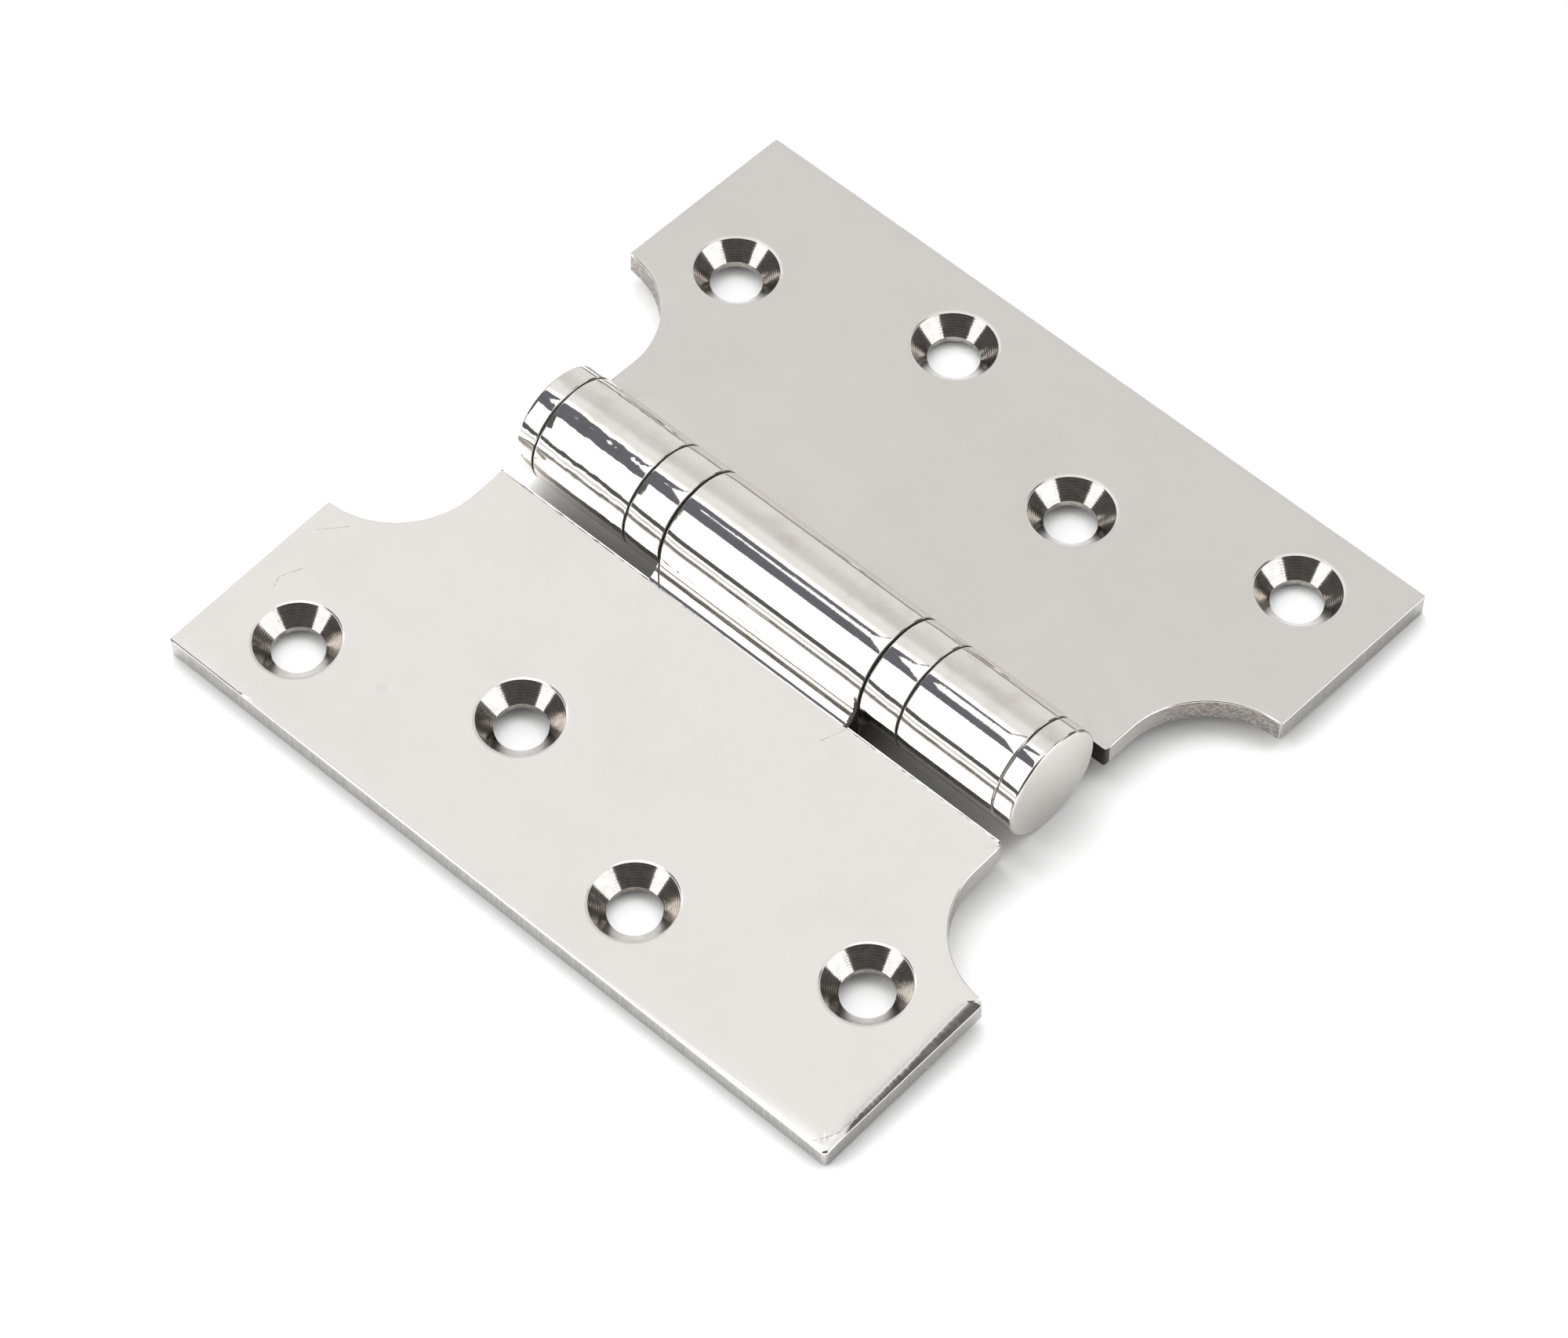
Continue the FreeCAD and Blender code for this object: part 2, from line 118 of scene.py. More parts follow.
# Nodes of any tree: inputs are values or readings, keyed by name or number
def addNode(tree, kind, inputs=None, **settings):
    node = tree.nodes.new(kind)
    for name, value in settings.items():
        setattr(node, name, value)
    for key, value in (inputs or {}).items():
        setInput(node.inputs[key], value)
    return node


def read(tree, kind, inputs=None, output=0, **settings):
    return Reading(addNode(tree, kind, inputs, **settings).outputs[output])


def calc(operation, *values):
    tree = next(value.tree for value in values if isinstance(value, Reading))
    return read(tree, "ShaderNodeMath", dict(enumerate(values)), operation=operation)


def split(vector):
    return [Reading(socket) for socket in addNode(vector.tree, "ShaderNodeSeparateXYZ", {0: vector}).outputs]


# How far a direction points the way of another
def facing(direction, way):
    inputs = {0: direction, 1: way}
    return read(direction.tree, "ShaderNodeVectorMath", inputs, "Value", operation="DOT_PRODUCT")


# Rises from low to high while value goes from start to end, and is level outside
def ramp(value, start, end, low=0.0, high=1.0, shape="SMOOTHSTEP"):
    inputs = {"Value": value, "From Min": start, "From Max": end, "To Min": low, "To Max": high}
    return read(value.tree, "ShaderNodeMapRange", inputs, interpolation_type=shape)


def band(value, low, high, soft):
    return ramp(value, low - soft, low + soft) * ramp(value, high - soft, high + soft, 1.0, 0.0)


def mixColour(factor, first, second):
    return read(factor.tree, "ShaderNodeMix", {0: factor, 6: first, 7: second}, 2, data_type="RGBA")


def grey(level, warmth=0.0):
    return (level * (1 + warmth), level, level * (1 - warmth), 1)


# Soft studio round the hinge, by direction. Round angles go about the barrel from +X over the top, in
# degrees; along is the part of the direction that points along the barrel, from -1 to 1
studioLook = {
    "wall": (52, 68, 0.77, 1.0),  # far wall brightening upwards: round angles, then levels
    "lowWall": (45, 15, 0.0, 0.12),  # and a little brighter again low down
    "overhead": (77, 88, 1.0, 1.55),
    "panel": 2.3,  # white panels left and right of the viewer
    "panelReach": (0.505, 0.545, 28),  # the left panel stops here away from the viewer: high up, low down
    "gap": (89.5, 118.5, 0.6),  # dark gap between the overhead screen and the left panel, and how soft it is
    "gapReach": (0.345, 0.006),  # it stops here towards the viewer at its top, and nearer by the slant
    "gapSlant": 0.10,
    "gapColour": (0.165, 0.167, 0.20, 1),
    "slit": (99.3, 6.3, 0.36, 95),  # thin bright wedge in the gap: middle, half width, at, narrowing
    "line": (150.0, 1.6, 0.8, 0.15, 0.01),  # dark line running on from the gap: lean, half widths, end, soft
    # Patches right of the viewer: azimuths and how soft, elevations and how soft, and which tone
    "patches": ((-94, 4, 3, 46, 61, 1, "dark"), (-48, 16, 2, 0, 22, 2, "dark"),
                (70, 121, 3, 0, 26, 3, "dark"), (-86, -48, 1.5, 6, 46, 1.5, "bright")),
    "viewer": (-137.5, 52, 33),  # where the viewer stands: azimuth, elevation, radius
    "behind": ((-92, -98), (172, 175), (0, 60, 3)),  # dark strip low on the left: azimuths, elevations
    "horizon": (3.5, 12, 0.7),
    "horizonSide": (-0.2, -0.3),
    "shade": (0.12, 0.03),
    "thrown": 0.2,  # of the studio's light, what the metal throws on to the floor
    "floorLight": 3.0,  # level and lean of the light that reaches the floor
    "floorLean": 0.6,
    "floorWay": (-0.64, 0.55, 0.53),
    "floorBlock": (62, 36, 0.85),  # what the viewer blocks: angles from the viewer, share
    "floorSlot": (109, 11, 18, 0.3),  # less beside the barrel: round angle, half widths, what is left
    "floorSide": (-0.35, -0.8, 1.0, 0.25),  # it falls off towards the near end: start, end, then levels
}


def makeStudioLight(look):
    world = bpy.data.worlds.new("softStudio")
    bpy.context.scene.world = world
    world.use_nodes = True
    tree = world.node_tree
    tree.nodes.clear()
    direction = read(tree, "ShaderNodeTexCoord", output="Generated")
    x, along, z = split(direction)
    roundAngle = calc("DEGREES", calc("ARCTAN2", z, x))
    elevation = calc("DEGREES", calc("ARCSINE", z))
    azimuth = calc("DEGREES", calc("ARCTAN2", along, x))
    shade = grey(*look["shade"])
    bright = grey(look["panel"])
    level = ramp(roundAngle, *look["wall"]) * ramp(roundAngle, *look["overhead"])
    level = level + ramp(roundAngle, *look["lowWall"])
    colour = read(tree, "ShaderNodeCombineColor", {0: level, 1: level, 2: level})
    # Left: panel, its far end, and the gap with its bright slit
    gapLow, gapHigh, gapSoft = look["gap"]
    colour = mixColour(ramp(roundAngle, gapHigh - gapSoft, gapHigh + gapSoft), colour, bright)
    high, low, turnover = look["panelReach"]
    pastEnd = ramp(along - ramp(elevation, turnover - 2, turnover + 2, low, high), -0.01, 0.01)
    colour = mixColour(pastEnd * ramp(roundAngle, gapLow - 2, gapLow + 2), colour, shade)
    gapReach, reachSoft = look["gapReach"]
    slant = ramp(roundAngle, gapLow, gapHigh, 0.0, look["gapSlant"], "LINEAR")
    pastReach = along + slant - gapReach
    inGap = band(roundAngle, gapLow, gapHigh, gapSoft) * ramp(pastReach, -reachSoft, reachSoft)
    middle, halfWidth, at, narrowing = look["slit"]
    slitOff = abs(roundAngle - middle) - (halfWidth - (along - at) * narrowing)
    colour = mixColour(inGap * ramp(slitOff, -gapSoft, gapSoft), colour, look["gapColour"])
    nearGap = band(roundAngle, gapLow, gapHigh + 1, 1) * ramp(pastReach, reachSoft, -reachSoft)
    colour = mixColour(nearGap, colour, bright)
    # Dark line that runs on from the gap's upper edge
    lean, outside, inside, end, soft = look["line"]
    offLine = abs(roundAngle - ((gapReach - along) * -lean + (gapLow + 1)))
    onLine = ramp(offLine, outside, inside) * band(along, end, gapReach, soft)
    colour = mixColour(onLine, colour, look["gapColour"])
    for left, right, softAside, low, high, softUp, tone in look["patches"]:
        patch = band(azimuth, left, right, softAside) * band(elevation, low, high, softUp)
        colour = mixColour(patch, colour, shade if tone == "dark" else bright)
    # Round dark place of the viewer, and the dark strips low on the left
    toAzimuth, toHeight, radius = (math.radians(v) for v in look["viewer"])
    flat = math.cos(toHeight)
    viewer = (math.cos(toAzimuth) * flat, math.sin(toAzimuth) * flat, math.sin(toHeight))
    toViewer = facing(direction, viewer)
    rim = math.cos(radius)
    colour = mixColour(ramp(toViewer, rim - 0.01, rim + 0.01), colour, shade)
    left, right, upward = look["behind"]
    behind = calc("MAXIMUM", ramp(azimuth, *left), ramp(azimuth, *right)) * band(elevation, *upward)
    colour = mixColour(behind, colour, shade)
    horizon = band(elevation, *look["horizon"]) * ramp(x, *look["horizonSide"])
    colour = mixColour(horizon, colour, shade)
    paths = addNode(tree, "ShaderNodeLightPath").outputs
    thrown = ramp(Reading(paths["Diffuse Depth"]), 0.0, 1.0, 1.0, look["thrown"])
    studio = read(tree, "ShaderNodeBackground", {"Color": colour, "Strength": thrown})
    # The floor takes a plain light that leans to the left
    light = look["floorLight"]
    strength = facing(direction, look["floorWay"]) * (look["floorLean"] * light) + light
    wide, narrow, share = look["floorBlock"]
    wide, narrow = math.cos(math.radians(wide)), math.cos(math.radians(narrow))
    strength = strength * ramp(toViewer, wide, narrow, 1, 1 - share)
    strength = strength * ramp(along, *look["floorSide"])
    middle, start, end, rest = look["floorSlot"]
    strength = strength * ramp(abs(roundAngle - middle), start, end, rest, 1.0)
    plain = read(tree, "ShaderNodeBackground", {"Color": grey(1), "Strength": strength})
    white = read(tree, "ShaderNodeBackground", {"Color": grey(1)})
    lit = read(tree, "ShaderNodeMixShader", {0: Reading(paths["Is Diffuse Ray"]), 1: studio, 2: plain})
    seen = read(tree, "ShaderNodeMixShader", {0: Reading(paths["Is Camera Ray"]), 1: lit, 2: white})
    addNode(tree, "ShaderNodeOutputWorld", {"Surface": seen})


# The floor's painted shade, seen only in the metal: from and to along X, and its level
floorLook = {"size": 0.26, "colour": 0.90, "beyond": (56 * mm, 66 * mm), "beyondLevel": 0.2}


def makeFloor(look):
    half = look["size"] / 2
    mesh = bpy.data.meshes.new("studio_floor")
    corners = [(-half, -half, 0), (half, -half, 0), (half, half, 0), (-half, half, 0)]
    mesh.from_pydata(corners, [], [(0, 1, 2, 3)])
    floor = bpy.data.objects.new("studio_floor", mesh)
    bpy.context.scene.collection.objects.link(floor)
    material = bpy.data.materials.new("whiteFloor")
    material.use_nodes = True
    tree = material.node_tree
    tree.nodes.clear()
    # Painted shade: rays reflected off the metal see the floor's colour darkened beyond the two-knuckle leaf,
    # where nothing lights it
    x = split(read(tree, "ShaderNodeTexCoord", output="Object"))[0]
    paintedFloorShade = read(tree, "ShaderNodeLightPath", output="Is Glossy Ray") * ramp(x, *look["beyond"])
    colour = mixColour(paintedFloorShade, grey(look["colour"]), grey(look["beyondLevel"]))
    matt = read(tree, "ShaderNodeBsdfDiffuse", {"Color": colour})
    clear = read(tree, "ShaderNodeBsdfTransparent")
    under = read(tree, "ShaderNodeNewGeometry", output="Backfacing")
    sides = read(tree, "ShaderNodeMixShader", {0: under, 1: matt, 2: clear})
    addNode(tree, "ShaderNodeOutputMaterial", {"Surface": sides})
    mesh.materials.append(material)


makeStudioLight(studioLook)
makeFloor(floorLook)

# Camera: looks at a point of the floor from an azimuth and an elevation, both in degrees
cameraView = {
    "azimuth": -47.479,
    "elevation": 54.055,
    "roll": 0.195,
    "distance": 743.4 * mm,
    "target": (-4.99 * mm, -2.22 * mm, 0),
    "focalPixels": 8251.0,
    "imageWidth": 2000,
}


def makeCamera(view):
    data = bpy.data.cameras.new("viewCamera")
    camera = bpy.data.objects.new("viewCamera", data)
    bpy.context.scene.collection.objects.link(camera)
    bpy.context.scene.camera = camera
    data.sensor_fit = "HORIZONTAL"
    data.sensor_width = 36
    data.lens = view["focalPixels"] / view["imageWidth"] * data.sensor_width
    azimuth, elevation, roll = (math.radians(view[k]) for k in ("azimuth", "elevation", "roll"))
    flat = math.cos(elevation)
    back = Vector((math.sin(azimuth) * flat, -math.cos(azimuth) * flat, math.sin(elevation)))
    side = Vector((0, 0, 1)).cross(back).normalized()
    up = back.cross(side)
    across = side * math.cos(roll) + up * math.sin(roll)
    upward = up * math.cos(roll) - side * math.sin(roll)
    place = Matrix((across, upward, back)).transposed().to_4x4()
    place.translation = Vector(view["target"]) + back * view["distance"]
    camera.matrix_world = place
    data.clip_start, data.clip_end = 0.01, 20


makeCamera(cameraView)
bpy.context.scene.view_settings.view_transform = "Standard"
print("Studio, floor and camera made")


# Metal finishes
def startMetal(name):
    material = bpy.data.materials.new(name)
    material.use_nodes = True
    tree = material.node_tree
    tree.nodes.clear()
    shader = addNode(tree, "ShaderNodeBsdfPrincipled", {"Metallic": 1.0})
    addNode(tree, "ShaderNodeOutputMaterial", {"Surface": Reading(shader.outputs[0])})
    return material, shader.inputs, read(tree, "ShaderNodeTexCoord", output="Object")


# Noise whose lumps have a given size, or sizes along X, Y and Z, in metres
def lumps(place, size, detail=2.0, roughness=0.5, seed=0.0):
    sizes = size if isinstance(size, tuple) else (size, size, size)
    moved = read(place.tree, "ShaderNodeMapping", {"Vector": place, "Scale": tuple(1 / s for s in sizes),
                                                   "Location": (seed, seed * 1.7, seed * 2.3)})
    inputs = {"Vector": moved, "Scale": 1.0, "Detail": detail, "Roughness": roughness}
    return read(place.tree, "ShaderNodeTexNoise", inputs)


# Stacks bumps: pairs of a height between 0 and 1 and its depth in metres
def bumps(inputs, *layers):
    normal = None
    for height, depth in layers:
        given = {"Height": height, "Distance": depth, "Strength": 1.0}
        if normal:
            given["Normal"] = normal
        normal = read(height.tree, "ShaderNodeBump", given)
    setInput(inputs["Normal"], normal)


leafFinish = {
    "colour": (0.815, 0.79, 0.755, 1),
    "smudge": (0.785, 0.752, 0.715, 1),
    "smudgeSize": 11 * mm,
    "roughness": (0.10, 0.17),
    "dullSize": (2.2 * mm, 1.1 * mm, 2 * mm),
    "waveSize": 14 * mm,
    "waveDepth": 0.012 * mm,
    "hairSize": (6 * mm, 0.12 * mm, 6 * mm),
    "hairDepth": 0.0004 * mm,
    "faceLevels": (3 * mm, 2.6 * mm),  # the marks below are on the face only: from, to under the axis
    # Scratches on the single-knuckle leaf, from and to, and a faint round stain: middle, radius, strength
    "scratches": (((-29.2 * mm, 49.1 * mm), (-26.4 * mm, 46.6 * mm)),
                  ((-38.3 * mm, 47.1 * mm), (-36.8 * mm, 47.7 * mm)),
                  ((-36.8 * mm, 47.7 * mm), (-34.2 * mm, 46.5 * mm))),
    "scratchWidth": 0.08 * mm,
    "scratchColour": (0.22, 0.205, 0.19, 1),
    "brokenSize": 0.4 * mm,
    "stain": (-40.1 * mm, 28.0 * mm, 0.8 * mm, 0.35),
    "stainColour": grey(0.66, 0.02),
    # Scuff round that leaf's lower outer corner: width along the short edge, growth, flare and its reach
    "scuff": (0.42 * mm, 0.037, 1.8 * mm, 2 * mm),
    "scuffWidth": (0.09 * mm, 0.03 * mm),
    "scuffSpan": (0.3 * mm, 7 * mm, 0.3 * mm),  # from the long edge, and how soft its ends are
    "longEdge": 51.35 * mm,
}


# Mask of a scratch between two places
def scratchMask(x, y, line, width):
    (startX, startY), (endX, endY) = line
    length = math.hypot(endX - startX, endY - startY)
    towardX, towardY = (endX - startX) / length, (endY - startY) / length
    fromX, fromY = x - startX, y - startY
    onward = fromX * towardX + fromY * towardY
    aside = fromX * -towardY + fromY * towardX
    return ramp(abs(aside), width, 0.3 * width) * band(onward, 0.0, length, 0.2 * mm)


def makeLeafPolish(look):
    material, inputs, place = startMetal("polishedLeafSteel")
    x, y, z = split(place)
    smudges = lumps(place, look["smudgeSize"], 5.0, 0.6)
    colour = mixColour(ramp(smudges, 0.40, 0.75), look["colour"], look["smudge"])
    start, end = look["faceLevels"]
    onFace = ramp(abs(x) * math.tan(droop) + z, axisHeight - start, axisHeight - end)
    stainX, stainY, radius, strength = look["stain"]
    offX, offY = x - stainX, y - stainY
    stained = ramp(calc("SQRT", offX * offX + offY * offY), radius, 0.6 * radius, 0.0, strength)
    colour = mixColour(stained * onFace, colour, look["stainColour"])
    broken = ramp(lumps(place, look["brokenSize"], 2.0, 0.5, 17.0), 0.38, 0.6, 0.08, 0.6) * onFace
    nearest, growth, flare, flareReach = look["scuff"]
    away = x + look["longEdge"]
    flared = away / flareReach
    border = calc("EXPONENT", flared * flared * -1.0) * flare + (away * growth + nearest)
    scuff = ramp(abs(y + halfHeight - border), *look["scuffWidth"]) * band(away, *look["scuffSpan"])
    marks = [scuff] + [scratchMask(x, y, line, look["scratchWidth"]) for line in look["scratches"]]
    for mark in marks:
        colour = mixColour(mark * broken, colour, look["scratchColour"])
    setInput(inputs["Base Color"], colour)
    dull = lumps(place, look["dullSize"], 4.0, 0.6, 3.1)
    setInput(inputs["Roughness"], ramp(dull, 0.35, 0.75, *look["roughness"]))
    bumps(inputs, (lumps(place, look["waveSize"], 1.0, 0.4, 1.9), look["waveDepth"]),
          (lumps(place, look["hairSize"], 2.0, 0.5, 5.3), look["hairDepth"]))
    return material


barrelFinish = {
    "colour": (0.80, 0.775, 0.735, 1),
    "smudge": (0.68, 0.65, 0.575, 1),
    "smudgeSize": (4 * mm, 5 * mm, 4 * mm),
    "dirt": (0.045, 0.036, 0.028, 1),
    "dirtDepth": (0.082 * mm, 0.112 * mm),  # below the barrel's own radius
    "roughness": (0.03, 0.07),
    "dulled": (0.6, 0.2, 0.2),  # roughness of dirt, streaks and the ends of the caps
    "dullSize": 1.5 * mm,
    "lumpSize": 2.4 * mm,
    "lumpDepth": 0.045 * mm,
    "lumpShares": (0.18, 0.5, 1.3),  # of the lumps: centre and lower end, bearing shells, upper end
    "grainSize": 0.42 * mm,
    "grainDepth": 0.003 * mm,
    "grainPatch": (3 * mm, 4 * mm, 3 * mm),
    "streaks": (7.57 * mm, 7.94 * mm, 0.08 * mm),  # brown streaks in the root: between these radii, and how soft
    "streakSize": (0.16 * mm, 5 * mm, 0.16 * mm),
    "streakColour": (0.33, 0.29, 0.235, 1),
    "capFace": (0.63, 0.61, 0.58, 1),  # ends of the caps: turned, less bright
    "capRings": 0.35 * mm,
    "tightJoint": (-0.8 * mm, -1.8 * mm, 0.0, 0.9),  # the lower cap's joint all but closes on this side
    "under": (0.72, 0.67, 0.61, 1),  # painted shade on the underside of the barrel
    "underLevels": (-0.7 * mm, -1.5 * mm),
    "score": (6.8 * mm, 2.2 * mm, 1.9 * mm),  # curved score at the root's upper end: start, run, and drop
    "tornSize": 0.35 * mm,
    "tornDepth": 1.1 * mm,
}


def makeBarrelPolish(look):
    material, inputs, place = startMetal("polishedBarrelSteel")
    x, y, z = split(place)
    height = z - axisHeight
    offAxis = calc("SQRT", x * x + height * height)
    dirty = ramp(barrelRadius - offAxis, *look["dirtDepth"])
    dirty = dirty * calc("LESS_THAN", abs(y), knuckleEnd + 0.3 * mm)
    tight = ramp(x, *look["tightJoint"]) * calc("LESS_THAN", y, 0.5 * mm - knuckleEnd)
    dirty = dirty * (1.0 - tight)
    smudges = lumps(place, look["smudgeSize"], 4.0, 0.6, 2.0)
    colour = mixColour(ramp(smudges, 0.45, 0.8), look["colour"], look["smudge"])
    streaks = ramp(lumps(place, look["streakSize"], 3.0, 0.7, 7.7), 0.36, 0.56)
    streaks = streaks * band(offAxis, *look["streaks"])
    colour = mixColour(streaks, colour, look["streakColour"])
    # Ends of the near root: a score at the upper one, a torn dark patch at the lower one
    start, run, drop = look["score"]
    outward = calc("MAXIMUM", (-start - x) / run, 0.0)
    offScore = abs(y - (calc("POWER", outward, 1.4) * -drop + centreEnd))
    score = ramp(offScore, 0.2 * mm, 0.1 * mm) * ramp(outward, 0.0, 0.05)
    torn = lumps(place, look["tornSize"], 3.0, 0.7, 13.0) * -look["tornDepth"] + (y + centreEnd)
    torn = ramp(torn, 0.08 * mm, -0.02 * mm) * ramp(outward, 0.02, 0.1)
    torn = torn * calc("LESS_THAN", abs(y), centreEnd + 0.02 * mm)
    dirty = calc("MAXIMUM", dirty, calc("MAXIMUM", score, torn))
    # Painted shade: below the axis the barrel's colour is darker
    under = ramp(height, *look["underLevels"]) * calc("LESS_THAN", offAxis, barrelRadius + 0.01 * mm)
    colour = mixColour(under, colour, look["under"])
    onFace = ramp(abs(y), capHigh.y - 0.32 * mm, capHigh.y - 0.2 * mm)
    swirl = calc("SINE", offAxis * (turn / look["capRings"]))
    face = mixColour(ramp(swirl * 0.05 + smudges, 0.3, 0.8, 0.0, 0.35), look["capFace"], look["smudge"])
    colour = mixColour(onFace, colour, face)
    setInput(inputs["Base Color"], mixColour(dirty, colour, look["dirt"]))
    setInput(inputs["Metallic"], 1.0 - dirty)
    gloss = ramp(lumps(place, look["dullSize"], 3.0, 0.6, 4.4), 0.35, 0.75, *look["roughness"])
    for share, dulled in zip((dirty, streaks, onFace), look["dulled"]):
        gloss = calc("MAXIMUM", gloss, share * dulled)
    setInput(inputs["Roughness"], gloss)
    calm, middling, wildest = look["lumpShares"]
    wild = band(abs(y), shellLow.y, shellHigh.y, 0.05 * mm) * (middling - calm) + calm
    wild = calc("MAXIMUM", wild, ramp(y, shellHigh.y, shellHigh.y + 0.1 * mm, 0.0, wildest))
    grainy = ramp(lumps(place, look["grainPatch"], 2.0, 0.5, 9.1), 0.4, 0.65, 0.25, 1.0)
    bumps(inputs, (lumps(place, look["lumpSize"], 1.5, 0.5, 6.6) * wild, look["lumpDepth"]),
          (lumps(place, look["grainSize"], 3.0, 0.6, 8.8) * grainy, look["grainDepth"]))
    return material


sawnFinish = {
    "colour": (0.22, 0.195, 0.175, 1),
    "bright": (0.52, 0.49, 0.46, 1),
    "neck": (0.56, 0.54, 0.51, 1),  # brighter towards the barrel
    "neckReach": (13 * mm, 21 * mm, 1.0, 0.0),
    "deep": (0.05, 0.042, 0.036, 1),  # and painted shade, near black, on the two-knuckle leaf's edges that face it
    "deepWithin": 9.4 * mm,
    "strokeSize": (0.5 * mm, 0.5 * mm, 0.25 * mm),
    "strokeDepth": 0.05 * mm,
    "roughness": 0.42,
}


def makeSawnSteel(look):
    material, inputs, place = startMetal("sawnSteel")
    strokes = lumps(place, look["strokeSize"], 4.0, 0.7, 1.0)
    colour = mixColour(ramp(strokes, 0.35, 0.65), look["colour"], look["bright"])
    x = split(place)[0]
    colour = mixColour(ramp(abs(x), *look["neckReach"]), colour, look["neck"])
    # Painted shade: the two-knuckle leaf's sawn edges within this reach of the axis, facing the barrel, are made
    # near black
    half = look["deepWithin"] / 2
    deep = ramp(abs(x - half), half + 0.1 * mm, half)
    setInput(inputs["Base Color"], mixColour(deep, colour, look["deep"]))
    setInput(inputs["Roughness"], look["roughness"])
    bumps(inputs, (strokes, look["strokeDepth"]))
    return material


groundFinish = {
    "colour": (0.61, 0.595, 0.57, 1),
    "dark": (0.47, 0.455, 0.435, 1),
    "short": (0.20, 0.19, 0.175, 1),  # short edges are duller by this share
    "shortShare": 0.4,
    "strokeSize": (0.25 * mm, 0.25 * mm, 3 * mm),
    "strokeDepth": 0.006 * mm,
    "roughness": 0.24,
}


# Outer edges of the leaves: ground across, not mirror polished
def makeGroundSteel(look):
    material, inputs, place = startMetal("groundEdgeSteel")
    strokes = lumps(place, look["strokeSize"], 3.0, 0.6, 3.0)
    colour = mixColour(ramp(strokes, 0.35, 0.65), look["colour"], look["dark"])
    y = split(place)[1]
    onShort = ramp(abs(y), halfHeight - 0.2 * mm, halfHeight - 0.05 * mm, 0.0, look["shortShare"])
    setInput(inputs["Base Color"], mixColour(onShort, colour, look["short"]))
    setInput(inputs["Roughness"], look["roughness"])
    bumps(inputs, (strokes, look["strokeDepth"]))
    return material


cupFinish = {
    "colour": (0.60, 0.57, 0.535, 1),
    "brown": (0.33, 0.295, 0.26, 1),
    "ringSpacing": 0.24 * mm,
    "ringDepth": 0.004 * mm,
    "patchSize": 0.9 * mm,
    "patchDepth": 0.0015 * mm,
    "roughness": 0.11,
}


# Countersinks: turned rings, read from the distance to the hole's middle that each cup carries
def makeCupSteel(look):
    material, inputs, place = startMetal("turnedCupSteel")
    offCentre = read(place.tree, "ShaderNodeAttribute", output="Fac", attribute_name="offCentre")
    rings = calc("SINE", offCentre * (turn / look["ringSpacing"]))
    patches = lumps(place, look["patchSize"], 3.0, 0.6, 2.7)
    height = (rings * 0.5 + 0.5) * ramp(patches, 0.35, 0.65, 0.15, 1.0)
    setInput(inputs["Base Color"], mixColour(height, look["colour"], look["brown"]))
    setInput(inputs["Roughness"], look["roughness"])
    bumps(inputs, (patches, look["patchDepth"]), (height, look["ringDepth"]))
    return material


# Plain bright metals inside the barrel, by a word in the node's name: colours, roughness, size of the grain
innerFinishes = {
    "pin": ("groundPinSteel", (0.60, 0.60, 0.60, 1), (0.48, 0.48, 0.47, 1), (0.2, 0.34),
            (3 * mm, 0.15 * mm, 3 * mm)),
    "race": ("hardRaceSteel", (0.63, 0.63, 0.64, 1), (0.5, 0.5, 0.52, 1), (0.12, 0.22),
             (1.2 * mm, 0.1 * mm, 1.2 * mm)),
    "cage": ("cageBrass", (0.78, 0.58, 0.27, 1), (0.6, 0.42, 0.2, 1), (0.22, 0.4), 0.8 * mm),
    "ball_": ("ballSteel", (0.76, 0.76, 0.77, 1), (0.68, 0.68, 0.7, 1), (0.04, 0.1), 0.4 * mm),
}


def makeInnerMetal(name, colour, stain, roughness, grain):
    material, inputs, place = startMetal(name)
    marks = lumps(place, grain, 3.0, 0.6)
    setInput(inputs["Base Color"], mixColour(marks, colour, stain))
    setInput(inputs["Roughness"], ramp(marks, 0.3, 0.7, *roughness))
    bumps(inputs, (marks, 0.002 * mm))
    return material


leafPolish = makeLeafPolish(leafFinish)
barrelPolish = makeBarrelPolish(barrelFinish)
sawnSteel = makeSawnSteel(sawnFinish)
groundSteel = makeGroundSteel(groundFinish)
cupSteel = makeCupSteel(cupFinish)
for word, finish in innerFinishes.items():
    material = makeInnerMetal(*finish)
    for name, node in frame["nodes"].items():
        if word in name:
            node.data.materials.clear()
            node.data.materials.append(material)
print("Finishes made")


# Geometry Nodes: a section of points at (radius, station) turned about an axis along Y
def newTree(name, sockets):
    tree = bpy.data.node_groups.new(name, "GeometryNodeTree")
    tree.interface.new_socket("Geometry", in_out="INPUT", socket_type="NodeSocketGeometry")
    for socket, kind in sockets.items():
        tree.interface.new_socket(socket, in_out="INPUT", socket_type="NodeSocket" + kind)
    tree.interface.new_socket("Geometry", in_out="OUTPUT", socket_type="NodeSocketGeometry")
    given = addNode(tree, "NodeGroupInput").outputs
    return tree, {socket.name: Reading(socket) for socket in given}


weldDistance = 0.002 * mm


